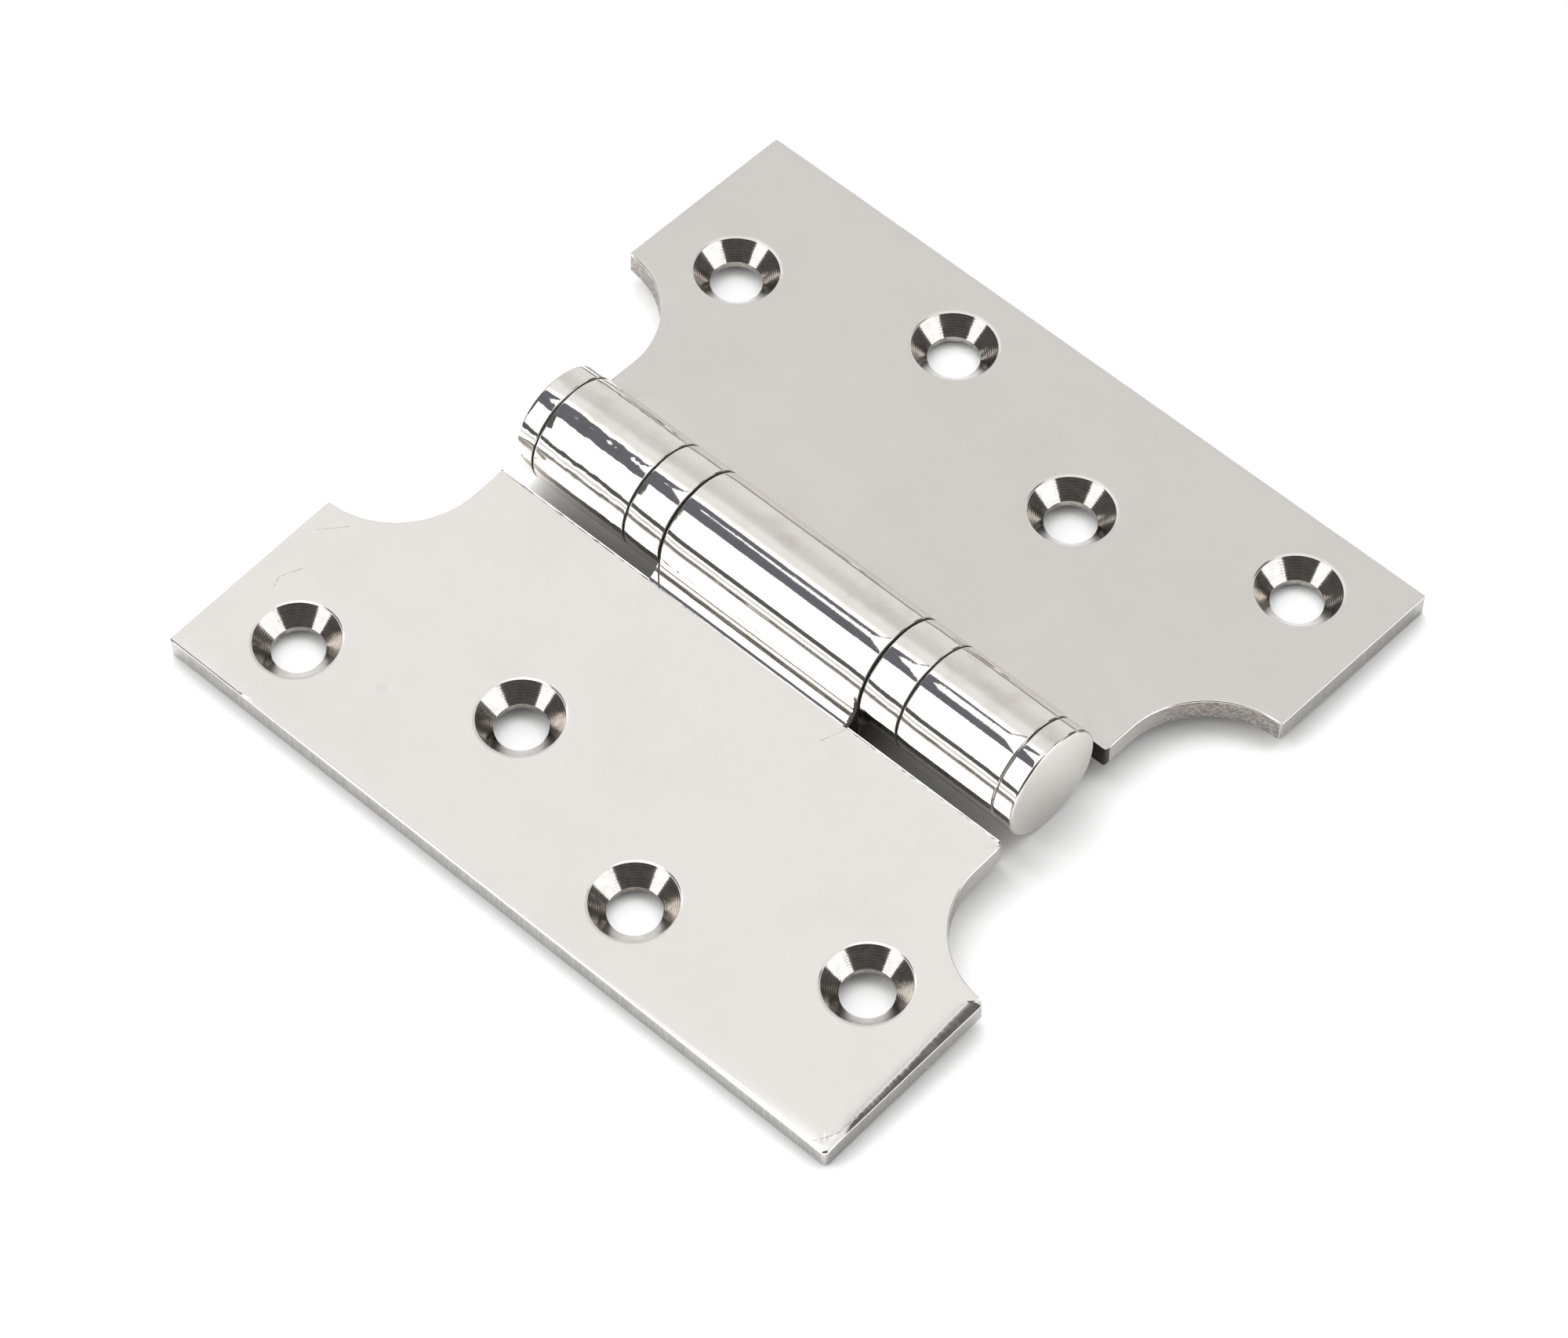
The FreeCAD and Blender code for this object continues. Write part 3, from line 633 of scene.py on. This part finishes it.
def buildTurnedTree():
    tree, given = newTree("turnedSection", {"Segments": "Int", "Axis height": "Float", "Finish": "Material"})
    section = given["Geometry"]
    points = read(tree, "GeometryNodeAttributeDomainSize", {0: section}, "Point Count")
    corners = {"Vertices X": given["Segments"] + 1, "Vertices Y": points}
    grid = read(tree, "GeometryNodeMeshGrid", corners, "Mesh")
    index = read(tree, "GeometryNodeInputIndex")
    angle = calc("FLOOR", index / points) / given["Segments"] * turn
    sample = addNode(tree, "GeometryNodeSampleIndex", {"Geometry": section, "Index": index % points},
                     data_type="FLOAT_VECTOR")
    value = next(s for s in sample.inputs if s.name == "Value" and s.enabled)
    setInput(value, read(tree, "GeometryNodeInputPosition"))
    sampled = Reading(next(s for s in sample.outputs if s.enabled))
    radius, station, _ = split(sampled)
    upward = radius * calc("SINE", angle) + given["Axis height"]
    spot = read(tree, "ShaderNodeCombineXYZ", {0: radius * calc("COSINE", angle), 1: station, 2: upward})
    turned = read(tree, "GeometryNodeSetPosition", {"Geometry": grid, "Position": spot})
    marked = read(tree, "GeometryNodeStoreNamedAttribute",
                  {"Geometry": turned, "Name": "offCentre", "Value": radius},
                  data_type="FLOAT", domain="POINT")
    welded = read(tree, "GeometryNodeMergeByDistance", {"Geometry": marked, "Distance": weldDistance})
    real = read(tree, "GeometryNodeRealizeInstances", {0: welded})
    finished = read(tree, "GeometryNodeSetMaterial", {"Geometry": real, "Material": given["Finish"]})
    addNode(tree, "NodeGroupOutput", {0: finished})
    return tree


# Geometry Nodes: countersunk cups in a zigzag, welded into the open holes of a plate
def buildCupTree(turnedTree):
    sockets = {"Cup section": "Object", "Count": "Int", "Pitch": "Float", "Outer row": "Float",
               "Stagger": "Float", "Face level": "Float", "Sink radius": "Float", "Segments": "Int",
               "Lip finish": "Material", "Finish": "Material"}
    tree, given = newTree("zigzagScrewCups", sockets)
    section = read(tree, "GeometryNodeObjectInfo", {"Object": given["Cup section"]}, "Geometry")
    cup = addNode(tree, "GeometryNodeGroup", node_tree=turnedTree)
    for socket, source in (("Geometry", section), ("Segments", given["Segments"]),
                           ("Finish", given["Lip finish"])):
        setInput(cup.inputs[socket], source)
    offCentre = read(tree, "GeometryNodeInputNamedAttribute", {"Name": "offCentre"}, "Attribute")
    sunk = calc("LESS_THAN", offCentre, given["Sink radius"])
    marked = read(tree, "GeometryNodeStoreNamedAttribute",
                  {"Geometry": Reading(cup.outputs[0]), "Name": "cupWall", "Value": sunk},
                  data_type="BOOLEAN", domain="FACE")
    low = (given["Count"] - 1) * -0.5 * given["Pitch"]
    first = read(tree, "ShaderNodeCombineXYZ", {0: given["Outer row"], 1: low, 2: given["Face level"]})
    step = read(tree, "ShaderNodeCombineXYZ", {1: given["Pitch"]})
    line = read(tree, "GeometryNodeMeshLine",
                {"Count": given["Count"], "Start Location": first, "Offset": step})
    inward = read(tree, "GeometryNodeInputIndex") % 2 * given["Stagger"] * -1
    shift = read(tree, "ShaderNodeCombineXYZ", {0: inward})
    zigzag = read(tree, "GeometryNodeSetPosition", {"Geometry": line, "Offset": shift})
    cups = read(tree, "GeometryNodeInstanceOnPoints", {"Points": zigzag, "Instance": marked,
                                                       "Rotation": (quarter, 0, 0)})
    joined = addNode(tree, "GeometryNodeJoinGeometry")
    for geometry in (read(tree, "GeometryNodeRealizeInstances", {0: cups}), given["Geometry"]):
        setInput(joined.inputs[0], geometry)
    welded = read(tree, "GeometryNodeMergeByDistance", {"Geometry": Reading(joined.outputs[0]),
                                                        "Distance": weldDistance})
    whole = read(tree, "GeometryNodeRealizeInstances", {0: welded})
    wall = addNode(tree, "GeometryNodeInputNamedAttribute", {"Name": "cupWall"}, data_type="BOOLEAN")
    picked = Reading(next(s for s in wall.outputs if s.enabled and s.name == "Attribute"))
    finished = read(tree, "GeometryNodeSetMaterial", {"Geometry": whole, "Selection": picked,
                                                      "Material": given["Finish"]})
    addNode(tree, "NodeGroupOutput", {0: finished})
    return tree


# Runs a tree on a mesh and gives back the plain result
def runTree(mesh, tree, values):
    holder = bpy.data.objects.new("workpiece", mesh)
    bpy.context.scene.collection.objects.link(holder)
    modifier = holder.modifiers.new("shape", "NODES")
    modifier.node_group = tree
    for name, value in values.items():
        modifier[tree.interface.items_tree[name].identifier] = value
    bpy.context.view_layer.update()
    shaped = holder.evaluated_get(bpy.context.evaluated_depsgraph_get())
    result = bpy.data.meshes.new_from_object(shaped)
    holder.modifiers.clear()
    bpy.data.objects.remove(holder)
    return result


turnedTree = buildTurnedTree()
cupTree = buildCupTree(turnedTree)


sharpAngle = 32  # degrees between faces from which an edge stays sharp


# Turns a mesh into a finished piece on a body, in place of a CAD node
def finishPiece(name, mesh, body, node):
    work = bmesh.new()
    work.from_mesh(mesh)
    bmesh.ops.recalc_face_normals(work, faces=work.faces)
    for face in work.faces:
        face.smooth = True
    work.to_mesh(mesh)
    work.free()
    mesh.set_sharp_from_angle(angle=math.radians(sharpAngle))
    mesh.name = name
    piece = bpy.data.objects.new(name, mesh)
    bpy.context.scene.collection.objects.link(piece)
    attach(piece, body)
    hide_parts(node)
    print(name, len(mesh.vertices), "points,", len(mesh.polygons), "faces")


# A turned surface falls away near its ends, where the polishing wheel ran over the edge
crownLook = {"reach": 2.3 * mm, "drop": 0.075 * mm, "rim": 0.25 * mm, "rimDepth": 0.28 * mm, "rimSteps": 6,
             "steps": 16, "bunching": 1.3, "spacing": 0.5 * mm}


# Distance from an end, and the fall of the radius there, from the rim inwards
def crownSteps(look, scale=1.0):
    steps = []
    for i in range(look["rimSteps"] + 1):
        angle = i / look["rimSteps"] * quarter
        steps.append((look["rim"] * (1 - math.cos(angle)), look["rimDepth"] * (1 - math.sin(angle))))
    for i in range(1, look["steps"] + 1):
        share = (i / look["steps"]) ** look["bunching"]
        steps.append((look["rim"] + share * (look["reach"] - look["rim"]), 0.0))
    return [(away, fall + scale * look["drop"] * (1 - away / look["reach"]) ** 2) for away, fall in steps]


# Stations and radii of a flush ring between two ends, crowned at both
def crownedLine(low, high, radius, look):
    line = [(low + away, radius - fall) for away, fall in crownSteps(look)]
    inside = [(high - away, radius - fall) for away, fall in crownSteps(look)]
    start, end = line[-1][0], inside[-1][0]
    count = max(2, int((end - start) / look["spacing"]))
    line += [(start + (end - start) * i / count, radius) for i in range(1, count)]
    return line + inside[::-1]


def sectionMesh(points):
    mesh = bpy.data.meshes.new("section")
    edges = [(i, i + 1) for i in range(len(points) - 1)]
    mesh.from_pydata([(radius, station, 0) for radius, station in points], edges, [])
    return mesh


barrelSegments = 288


def turnPiece(points, finish):
    values = {"Segments": barrelSegments, "Axis height": axisHeight, "Finish": finish}
    return runTree(sectionMesh(points), turnedTree, values)


def makeBearingShells(look):
    for side, sign in (("upper", 1), ("lower", -1)):
        line = crownedLine(shellLow.y, shellHigh.y, barrelRadius, crownLook)
        inner = barrelRadius - look["wall"]
        points = [(inner, line[0][0])] + [(radius, station) for station, radius in line]
        points += [(inner, line[-1][0]), (inner, line[0][0])]
        mesh = turnPiece([(radius, sign * station) for radius, station in points], barrelPolish)
        finishPiece(f"{side}_bearing_shell_polished", mesh, "two_knuckle_side",
                    f"{side}_bearing_shell")


# Cap: pressed spigot, flush side and a slightly domed end with a rounded edge
def makeEndCaps(look):
    for side, sign in (("upper", 1), ("lower", -1)):
        tip = knuckleEnd - look["spigot"]
        points = [(0, tip), (look["spigotRadius"], tip), (look["spigotRadius"], knuckleEnd)]
        crown = crownSteps(crownLook, look["crown"])
        points += [(barrelRadius - fall, knuckleEnd + away) for away, fall in crown]
        outerEnd = capHigh.y - look["dome"]
        edge = look["edge"]
        flatRadius = barrelRadius - edge
        for i in range(look["edgeSteps"] + 1):
            angle = i / look["edgeSteps"] * quarter
            points.append((flatRadius + edge * math.cos(angle), outerEnd - edge + edge * math.sin(angle)))
        for i in range(1, look["domeSteps"] + 1):
            radius = flatRadius * (1 - i / look["domeSteps"])
            points.append((radius, outerEnd + look["dome"] * (1 - (radius / flatRadius) ** 2)))
        mesh = turnPiece([(radius, sign * station) for radius, station in points], barrelPolish)
        finishPiece(f"{side}_end_cap_polished", mesh, "two_knuckle_side",
                    f"{side}_end_cap")


makeBearingShells(shellLook)
makeEndCaps(capLook)

# Leaf plate in its own plane: u away from the barrel axis, y along it, h above the axis
plateSizes = {
    "reach": 51.48 * mm,
    "inner": 8.78 * mm,
    "web": 9.0 * mm,  # where the face runs into the knuckles' hollows
    "neck": 13.5 * mm,
    "cut": 12 * mm,
    "corners": (0.3 * mm, 0.3 * mm),  # at the ends y > 0 and y < 0
    "thickness": 3 * mm,
    "backBreak": 0.15 * mm,
    "rollWidth": 3.4 * mm,
    "step": 0.5 * mm,  # along the outer edge, and below along the free inner edge
    "innerStep": 0.3 * mm,
    "webEdge": 0.03 * mm,  # samples stand this far either side of the ends of a web
    "webRound": 0.004 * mm,
    # Samples along the other edges of each half, in their order round the outline
    "counts": {"outerCorner": 8, "short": 150, "cutCorner": 8, "cut": 48, "neck": 8, "innerCorner": 8},
    "wallShares": (0.25, 0.5, 0.75, 0.97),  # heights of the rings on the wall
    "roundSteps": 7,
    "rollShares": (0.08, 0.2, 0.35, 0.5, 0.68, 0.86, 0.97, 1.03),  # places of the rings on the roll-off
    "holeSegments": 96,
    "screws": 4,
}
faceLevel = backLevel + plateSizes["thickness"]


# Point of the plate's outline, moved inwards by a distance
def outlinePoint(kind, t, sign, inset, sizes):
    if kind in ("outer", "inner"):
        sign = 1 if t >= 0 else -1
    corner = max(sizes["corners"][sign < 0], inset + 0.1 * mm)
    arc = corner - inset
    top = halfHeight - corner
    reach, inner, neck, cut = sizes["reach"], sizes["inner"], sizes["neck"], sizes["cut"]
    cutMeet = neck + math.sqrt((cut + corner) ** 2 - corner ** 2)
    lean = math.asin(corner / (cut + corner))
    if kind == "outer":
        return reach - inset, t * top
    if kind == "outerCorner":
        return reach - corner + arc * math.cos(t * quarter), sign * (top + arc * math.sin(t * quarter))
    if kind == "short":
        return reach - corner + (cutMeet - reach + corner) * t, sign * (halfHeight - inset)
    if kind == "cutCorner":
        angle = quarter + t * (quarter - lean)
        return cutMeet + arc * math.cos(angle), sign * (top + arc * math.sin(angle))
    if kind == "cut":
        angle = -lean - t * (quarter - lean)
        return neck + (cut + inset) * math.cos(angle), sign * (halfHeight + (cut + inset) * math.sin(angle))
    if kind == "neck":
        return neck + (inner + corner - neck) * t, sign * (halfHeight - cut - inset)
    if kind == "innerCorner":
        angle = quarter + t * quarter
        return (inner + corner + arc * math.cos(angle),
                sign * (halfHeight - cut - corner + arc * math.sin(angle)))
    return inner + inset, t * (halfHeight - cut - corner)


# Outline samples, anticlockwise: kind of edge, place along it, and side
def outlineSamples(sizes, webEnds):
    step = sizes["step"]
    innerTops = [halfHeight - sizes["cut"] - corner for corner in sizes["corners"]]

    def even(count):
        return [i / count for i in range(count)]

    outerCount = int(2 * halfHeight / step)
    half = [(kind, t) for kind, count in sizes["counts"].items() for t in even(count)]
    span = sum(innerTops)
    stations = [innerTops[0] - span * t for t in even(int(span / sizes["innerStep"]))]
    edge = sizes["webEdge"]
    for end in webEnds:
        stations = [y for y in stations if abs(abs(y) - end) > 2 * edge]
        stations += [s * (end + d) for s in (1, -1) for d in (-edge, edge)]
    samples = [("outer", 2 * t - 1, 1) for t in even(outerCount)]
    samples += [(kind, t, 1) for kind, t in half]
    samples += [("inner", y / innerTops[y < 0], 1) for y in sorted(stations, reverse=True)]
    samples += [("inner", -1.0, 1)]
    return samples + [(kind, t, -1) for kind, t in half[:0:-1]]


# Adds rings round the outline to a bmesh, from the back edge over the wall and the polished edge
def addPlate(work, sizes, webs, edgeOf, finishes):
    webEnds = sorted({abs(end) for web in webs for end in web})
    samples = outlineSamples(sizes, webEnds)
    thickness, width = sizes["thickness"], sizes["rollWidth"]
    rings = []

    def ring(rule):
        row = []
        for sample in samples:
            inset, level = rule(sample)
            u, y = outlinePoint(*sample, max(inset, 0.0), sizes)
            row.append(work.verts.new((u, y, faceLevel + level)))
        rings.append(row)

    def edge(sample):
        u, y = outlinePoint(*sample, 0.0, sizes)
        onWeb = sample[0] == "inner" and any(low < y < high for low, high in webs)
        return edgeOf(sample[0], u, y, onWeb)

    # Fall of the face at an inset; at the outer corners both edges' falls run together
    def fallAt(sample, inset):
        _, fall, reach, power, _ = edge(sample)
        own = fall * max(0.0, 1 - inset / reach) ** power
        if sample[0] not in ("outer", "outerCorner", "short"):
            return own
        u, y = outlinePoint(*sample, max(inset, 0.0), sizes)
        offOuter, offShort = sizes["reach"] - u, halfHeight - abs(y)
        if sample[0] == "outer":
            away, other = offShort, edgeOf("short", u, math.copysign(halfHeight, y), False)
        else:
            away, other = offOuter, edgeOf("outer", u, y, False)
        _, fall, reach, power, _ = other
        return math.hypot(own, fall * max(0.0, 1 - away / reach) ** power)

    wallFoot = sizes["backBreak"] - thickness
    ring(lambda s: (sizes["backBreak"], -thickness))
    ring(lambda s: (0.0, wallFoot))
    for share in sizes["wallShares"]:
        def walled(sample):
            radius, _, _, _, rough = edge(sample)
            level = wallFoot - share * (wallFoot + radius + fallAt(sample, 0.0))
            return rough * random.uniform(0, 1), level
        ring(walled)
    wallRows = len(rings)
    for i in range(sizes["roundSteps"] + 1):
        angle = i / sizes["roundSteps"] * quarter

        def rounded(sample):
            radius = edge(sample)[0]
            inset = radius * (1 - math.cos(angle))
            return inset, -radius * (1 - math.sin(angle)) - fallAt(sample, inset)
        ring(rounded)
    for share in sizes["rollShares"]:
        def rolled(sample):
            radius, _, reach, _, _ = edge(sample)
            inset = radius + share * (reach - radius)
            return inset, -fallAt(sample, inset)
        ring(rolled)
    ring(lambda s: (width, 0.0))
    count = len(samples)
    for row, (below, above) in enumerate(zip(rings, rings[1:])):
        for i in range(count):
            j = (i + 1) % count
            face = work.faces.new((below[i], below[j], above[j], above[i]))
            kind = samples[i][0]
            onWeb = kind == "inner" and edge(samples[i])[0] <= sizes["webRound"]
            wall = row < wallRows and not onWeb
            sawn = wall and kind in ("cut", "neck", "inner", "innerCorner")
            face.material_index = finishes["sawn" if sawn else "ground" if wall else "leaf"]
    return rings[0], rings[-1]


# Flat region between an outer loop and round holes
def fillFlat(work, loop, circles, index):
    edges = []
    for points in [loop] + circles:
        for i, point in enumerate(points):
            other = points[(i + 1) % len(points)]
            edges.append(work.edges.get((point, other)) or work.edges.new((point, other)))
    filled = bmesh.ops.triangle_fill(work, edges=edges, use_beauty=True, use_dissolve=False)
    for item in filled["geom"]:
        if isinstance(item, bmesh.types.BMFace):
            item.material_index = index


def roundPoints(radius, count):
    return [(radius * math.cos(i / count * turn), radius * math.sin(i / count * turn)) for i in range(count)]


knuckleLook = {
    "segments": 240,
    "hollowStart": 14,  # degrees at which the hollow leaves the leaf's face
    "hollowArcs": ((27, 2.3 * mm), (49.5, 1.85 * mm), (56, 7.0 * mm)),  # up to which angle, at which radius
    "arcSteps": 9,
    "backHollow": 2.19 * mm,
    "boreRadius": 3.3 * mm,
    "boreSegments": 48,
    "tuck": (0.35 * mm, 0.1 * mm),  # how far the web runs into the plate, and under its face and back
}


# Hollow from the leaf's face up to the barrel: arcs of given radii, then one that touches the barrel.
# Gives the points from the leaf on, and the angle on the barrel where it touches
def hollowLine(radius, look, sizes):
    u, h = sizes["web"], faceLevel
    angle = math.radians(look["hollowStart"])
    points = [(u, h)]
    for limit, arc in look["hollowArcs"]:
        start, stop = angle, math.radians(limit)
        for i in range(1, look["arcSteps"] + 1):
            nextAngle = start + (stop - start) * i / look["arcSteps"]
            u -= arc * (math.sin(nextAngle) - math.sin(angle))
            h += arc * (math.cos(angle) - math.cos(nextAngle))
            angle = nextAngle
            points.append((u, h))
    last = (u * u + h * h - radius * radius) / (2 * (radius - u * math.sin(angle) - h * math.cos(angle)))
    middleU, middleH = u + last * math.sin(angle), h + last * math.cos(angle)
    touch = math.atan2(middleH, middleU)
    stop = quarter - touch
    for i in range(1, look["arcSteps"]):
        nextAngle = angle + (stop - angle) * i / look["arcSteps"]
        points.append((middleU - last * math.sin(nextAngle), middleH - last * math.cos(nextAngle)))
    return points, touch


# Section of a knuckle and its web at a barrel radius, anticlockwise from where the face hollow touches
def knuckleSection(radius, look, sizes):
    faceLine, faceTouch = hollowLine(radius, look, sizes)
    arc = look["backHollow"]
    middleH = backLevel - arc
    middleU = math.sqrt((radius + arc) ** 2 - middleH ** 2)
    backTouch = math.atan2(middleH, middleU)
    points = []
    for i in range(look["segments"] + 1):
        angle = faceTouch + (turn + backTouch - faceTouch) * i / look["segments"]
        points.append((radius * math.cos(angle), radius * math.sin(angle)))
    first = backTouch + math.pi
    for i in range(1, look["arcSteps"] + 1):
        angle = first + (quarter - first) * i / look["arcSteps"]
        points.append((middleU + arc * math.cos(angle), middleH + arc * math.sin(angle)))
    tuck, under = look["tuck"]
    end = sizes["web"] + tuck
    points += [(sizes["web"], backLevel), (end, backLevel + under), (end, faceLevel - under)]
    return points + faceLine


def addKnuckle(work, low, high, look, sizes, index):
    rows = []
    for station, radius in crownedLine(low, high, barrelRadius, crownLook):
        section = knuckleSection(radius, look, sizes)
        rows.append([work.verts.new((u, station, h)) for u, h in section])
    count = len(rows[0])
    for first, second in zip(rows, rows[1:]):
        for i in range(count):
            j = (i + 1) % count
            work.faces.new((first[i], first[j], second[j], second[i])).material_index = index
    bores = []
    rim = roundPoints(look["boreRadius"], look["boreSegments"])
    for row, station in ((rows[0], low), (rows[-1], high)):
        bore = [work.verts.new((across, station, upward)) for across, upward in rim]
        fillFlat(work, row, [bore], index)
        bores.append(bore)
    for i in range(look["boreSegments"]):
        j = (i + 1) % look["boreSegments"]
        work.faces.new((bores[0][i], bores[1][i], bores[1][j], bores[0][j])).material_index = index


cupSizes = {"sinkRadius": 5.25 * mm, "halo": 0.27 * mm, "haloDepth": 0.062 * mm, "support": 0.2 * mm,
            "backBreak": 0.15 * mm, "lip": 0.05 * mm, "haloSteps": 6, "haloPower": 1.15,
            "coneShares": (0.0, 0.15, 0.35, 0.6, 0.8, 0.93, 1.0)}


def cupSection(sizes):
    depth = plateSizes["thickness"]
    rim = sizes["sinkRadius"] + sizes["halo"]
    points = [(rim + sizes["support"], 0.0)]
    for i in range(sizes["haloSteps"] + 1):
        share = i / sizes["haloSteps"]
        points.append((rim - share * sizes["halo"], -sizes["haloDepth"] * share ** sizes["haloPower"]))
    sink = sizes["sinkRadius"] - sizes["lip"]
    for share in sizes["coneShares"]:
        radius = sink + (shankRadius - sink) * share
        points.append((radius, radius - sizes["sinkRadius"] - sizes["haloDepth"] + sizes["lip"]))
    points += [(shankRadius, -depth + sizes["backBreak"]), (shankRadius + sizes["backBreak"], -depth)]
    return points


# Whole leaf: plate, knuckles and cups
def makeLeaf(name, node, body, place, webs, edgeOf, sizes):
    work = bmesh.new()
    finishes = {"leaf": 0, "barrel": 1, "sawn": 2, "ground": 3}
    backLoop, faceLoop = addPlate(work, sizes, webs, edgeOf, finishes)
    section = cupSection(cupSizes)
    segments = plateSizes["holeSegments"]
    middles = [((outerRow, innerRow)[i % 2], (i - (sizes["screws"] - 1) / 2) * screwPitch)
               for i in range(sizes["screws"])]
    for loop, level, radius in ((faceLoop, faceLevel, section[0][0]), (backLoop, backLevel, section[-1][0])):
        rim = roundPoints(radius, segments)
        holes = [[work.verts.new((u + across, y + along, level)) for across, along in rim]
                 for u, y in middles]
        fillFlat(work, loop, holes, finishes["leaf"])
    for low, high in webs:
        addKnuckle(work, low, high, knuckleLook, sizes, finishes["barrel"])
    plate = bpy.data.meshes.new("plate")
    for material in (leafPolish, barrelPolish, sawnSteel, groundSteel):
        plate.materials.append(material)
    work.to_mesh(plate)
    work.free()
    sectionHolder = bpy.data.objects.new("cupSection", sectionMesh(section))
    values = {"Cup section": sectionHolder, "Count": sizes["screws"], "Pitch": screwPitch,
              "Outer row": outerRow, "Stagger": outerRow - innerRow, "Face level": faceLevel,
              "Sink radius": cupSizes["sinkRadius"], "Segments": segments, "Lip finish": leafPolish,
              "Finish": cupSteel}
    mesh = runTree(plate, cupTree, values)
    bpy.data.objects.remove(sectionHolder)
    mesh.transform(place)
    finishPiece(name, mesh, body, node)


# Edge rules give the rounding, the fall and the reach of the roll-off, its power, and the wall's roughness.
# A fall below nothing is a lip: on the free inner edges the start of the knuckles' hollow is left standing
edgeLook = {
    "web": (plateSizes["webRound"], 0.0, 1 * mm, 2, 0.0),
    "lip": (0.05 * mm, -0.13 * mm, 0.28 * mm, 1.45, 0.0),
    "lipRipple": (0.35, 0.7 * mm),  # share of its reach, and length
    "notch": (0.16 * mm, 0.01 * mm, 1.2 * mm, 2, 0.03 * mm),
    "crisp": (0.10 * mm, 0.02 * mm, 1.2 * mm, 2, 0.0),
    "wornShort": (0.16 * mm, 0.01 * mm, 1.2 * mm, 2, 0.0),
}


def innerEdge(kind, y, onWeb):
    if onWeb:
        return edgeLook["web"]
    if kind in ("inner", "innerCorner"):
        rounding, fall, reach, power, rough = edgeLook["lip"]
        share, length = edgeLook["lipRipple"]
        return rounding, fall, reach * (1 + share * noise.noise((0.7, y / length, 0.3))), power, rough
    return edgeLook["notch"]


def crispEdge(kind, u, y, onWeb):
    if kind in ("inner", "innerCorner", "cut", "neck"):
        return innerEdge(kind, y, onWeb)
    return edgeLook["crisp"]


# The single-knuckle leaf is worn more. Its lower short edge has a ragged slope, wider towards the notch, that
# turns round the lower corner; its long edge is rounder towards that corner and lightly broken at the other
wornLook = {
    "slope": (0.42 * mm, 0.95 * mm, 26 * mm),  # width at the corner, what it grows by, and over what length
    "slopeRipples": ((0.02, 0.3 * mm, 0.3), (0.1, 4 * mm, 2.3)),  # shares of the width, lengths, seeds
    "slopeFall": 0.43,  # share of its width
    "slopePower": 1.08,
    "slopeRound": 0.04 * mm,
    "flare": (2 * mm, 1.8 * mm, 0.3 * mm),  # at the corner: reach, and what it adds to width and rounding
    "corner": 1.5 * mm,  # the slope's rule holds this far down from the lower short edge
    "rounder": (-10 * mm, 0.26 * mm, 0.1 * mm),  # long edge: from here on, added fall and rounding
    "broken": (-25 * mm, 15 * mm, 0.055 * mm),  # and at the other end: from here, over, added fall
    "long": (0.25 * mm, 0.19 * mm, 3.3 * mm, 3.11 * mm),  # rounding and reach, each with what the break takes
}


def wornEdge(kind, u, y, onWeb):
    if kind in ("inner", "innerCorner", "cut", "neck"):
        return innerEdge(kind, y, onWeb)
    away = max(0.0, plateSizes["reach"] - u)
    if kind in ("short", "cutCorner", "outerCorner") and y > halfHeight - wornLook["corner"]:
        width, growth, run = wornLook["slope"]
        slope = width + growth * min(1.0, away / run)
        slope *= 1 + sum(share * noise.noise((u / length, seed, 0.7))
                         for share, length, seed in wornLook["slopeRipples"])
        flareReach, wider, rounder = wornLook["flare"]
        flare = math.exp(-(away / flareReach) ** 2)
        return (wornLook["slopeRound"] + rounder * flare, wornLook["slopeFall"] * slope,
                slope + wider * flare, wornLook["slopePower"], 0.0)
    if kind in ("short", "cutCorner"):
        return edgeLook["wornShort"]
    start, fall, rounder = wornLook["rounder"]
    share = max(0.0, min(1.0, (y - start) / (halfHeight - start))) ** 2
    start, run, breakFall = wornLook["broken"]
    early = max(0.0, min(1.0, (start - y) / run))
    rounding, lessRound, reach, lessReach = wornLook["long"]
    return (rounding + rounder * share - lessRound * early, fall * share + breakFall * early,
            reach - lessReach * early, 2 - early, 0.0)


wornSizes = {**plateSizes, "corners": (0.7 * mm, 0.3 * mm)}
makeLeaf("single_knuckle_leaf_polished", "single_knuckle_leaf", "single_knuckle_side", minusLeafPlace,
         [(-centreEnd, centreEnd)], wornEdge, wornSizes)
makeLeaf("two_knuckle_leaf_polished", "two_knuckle_leaf", "two_knuckle_side", plusLeafPlace,
         [(-knuckleEnd, -bearingEnd), (bearingEnd, knuckleEnd)], crispEdge, plateSizes)
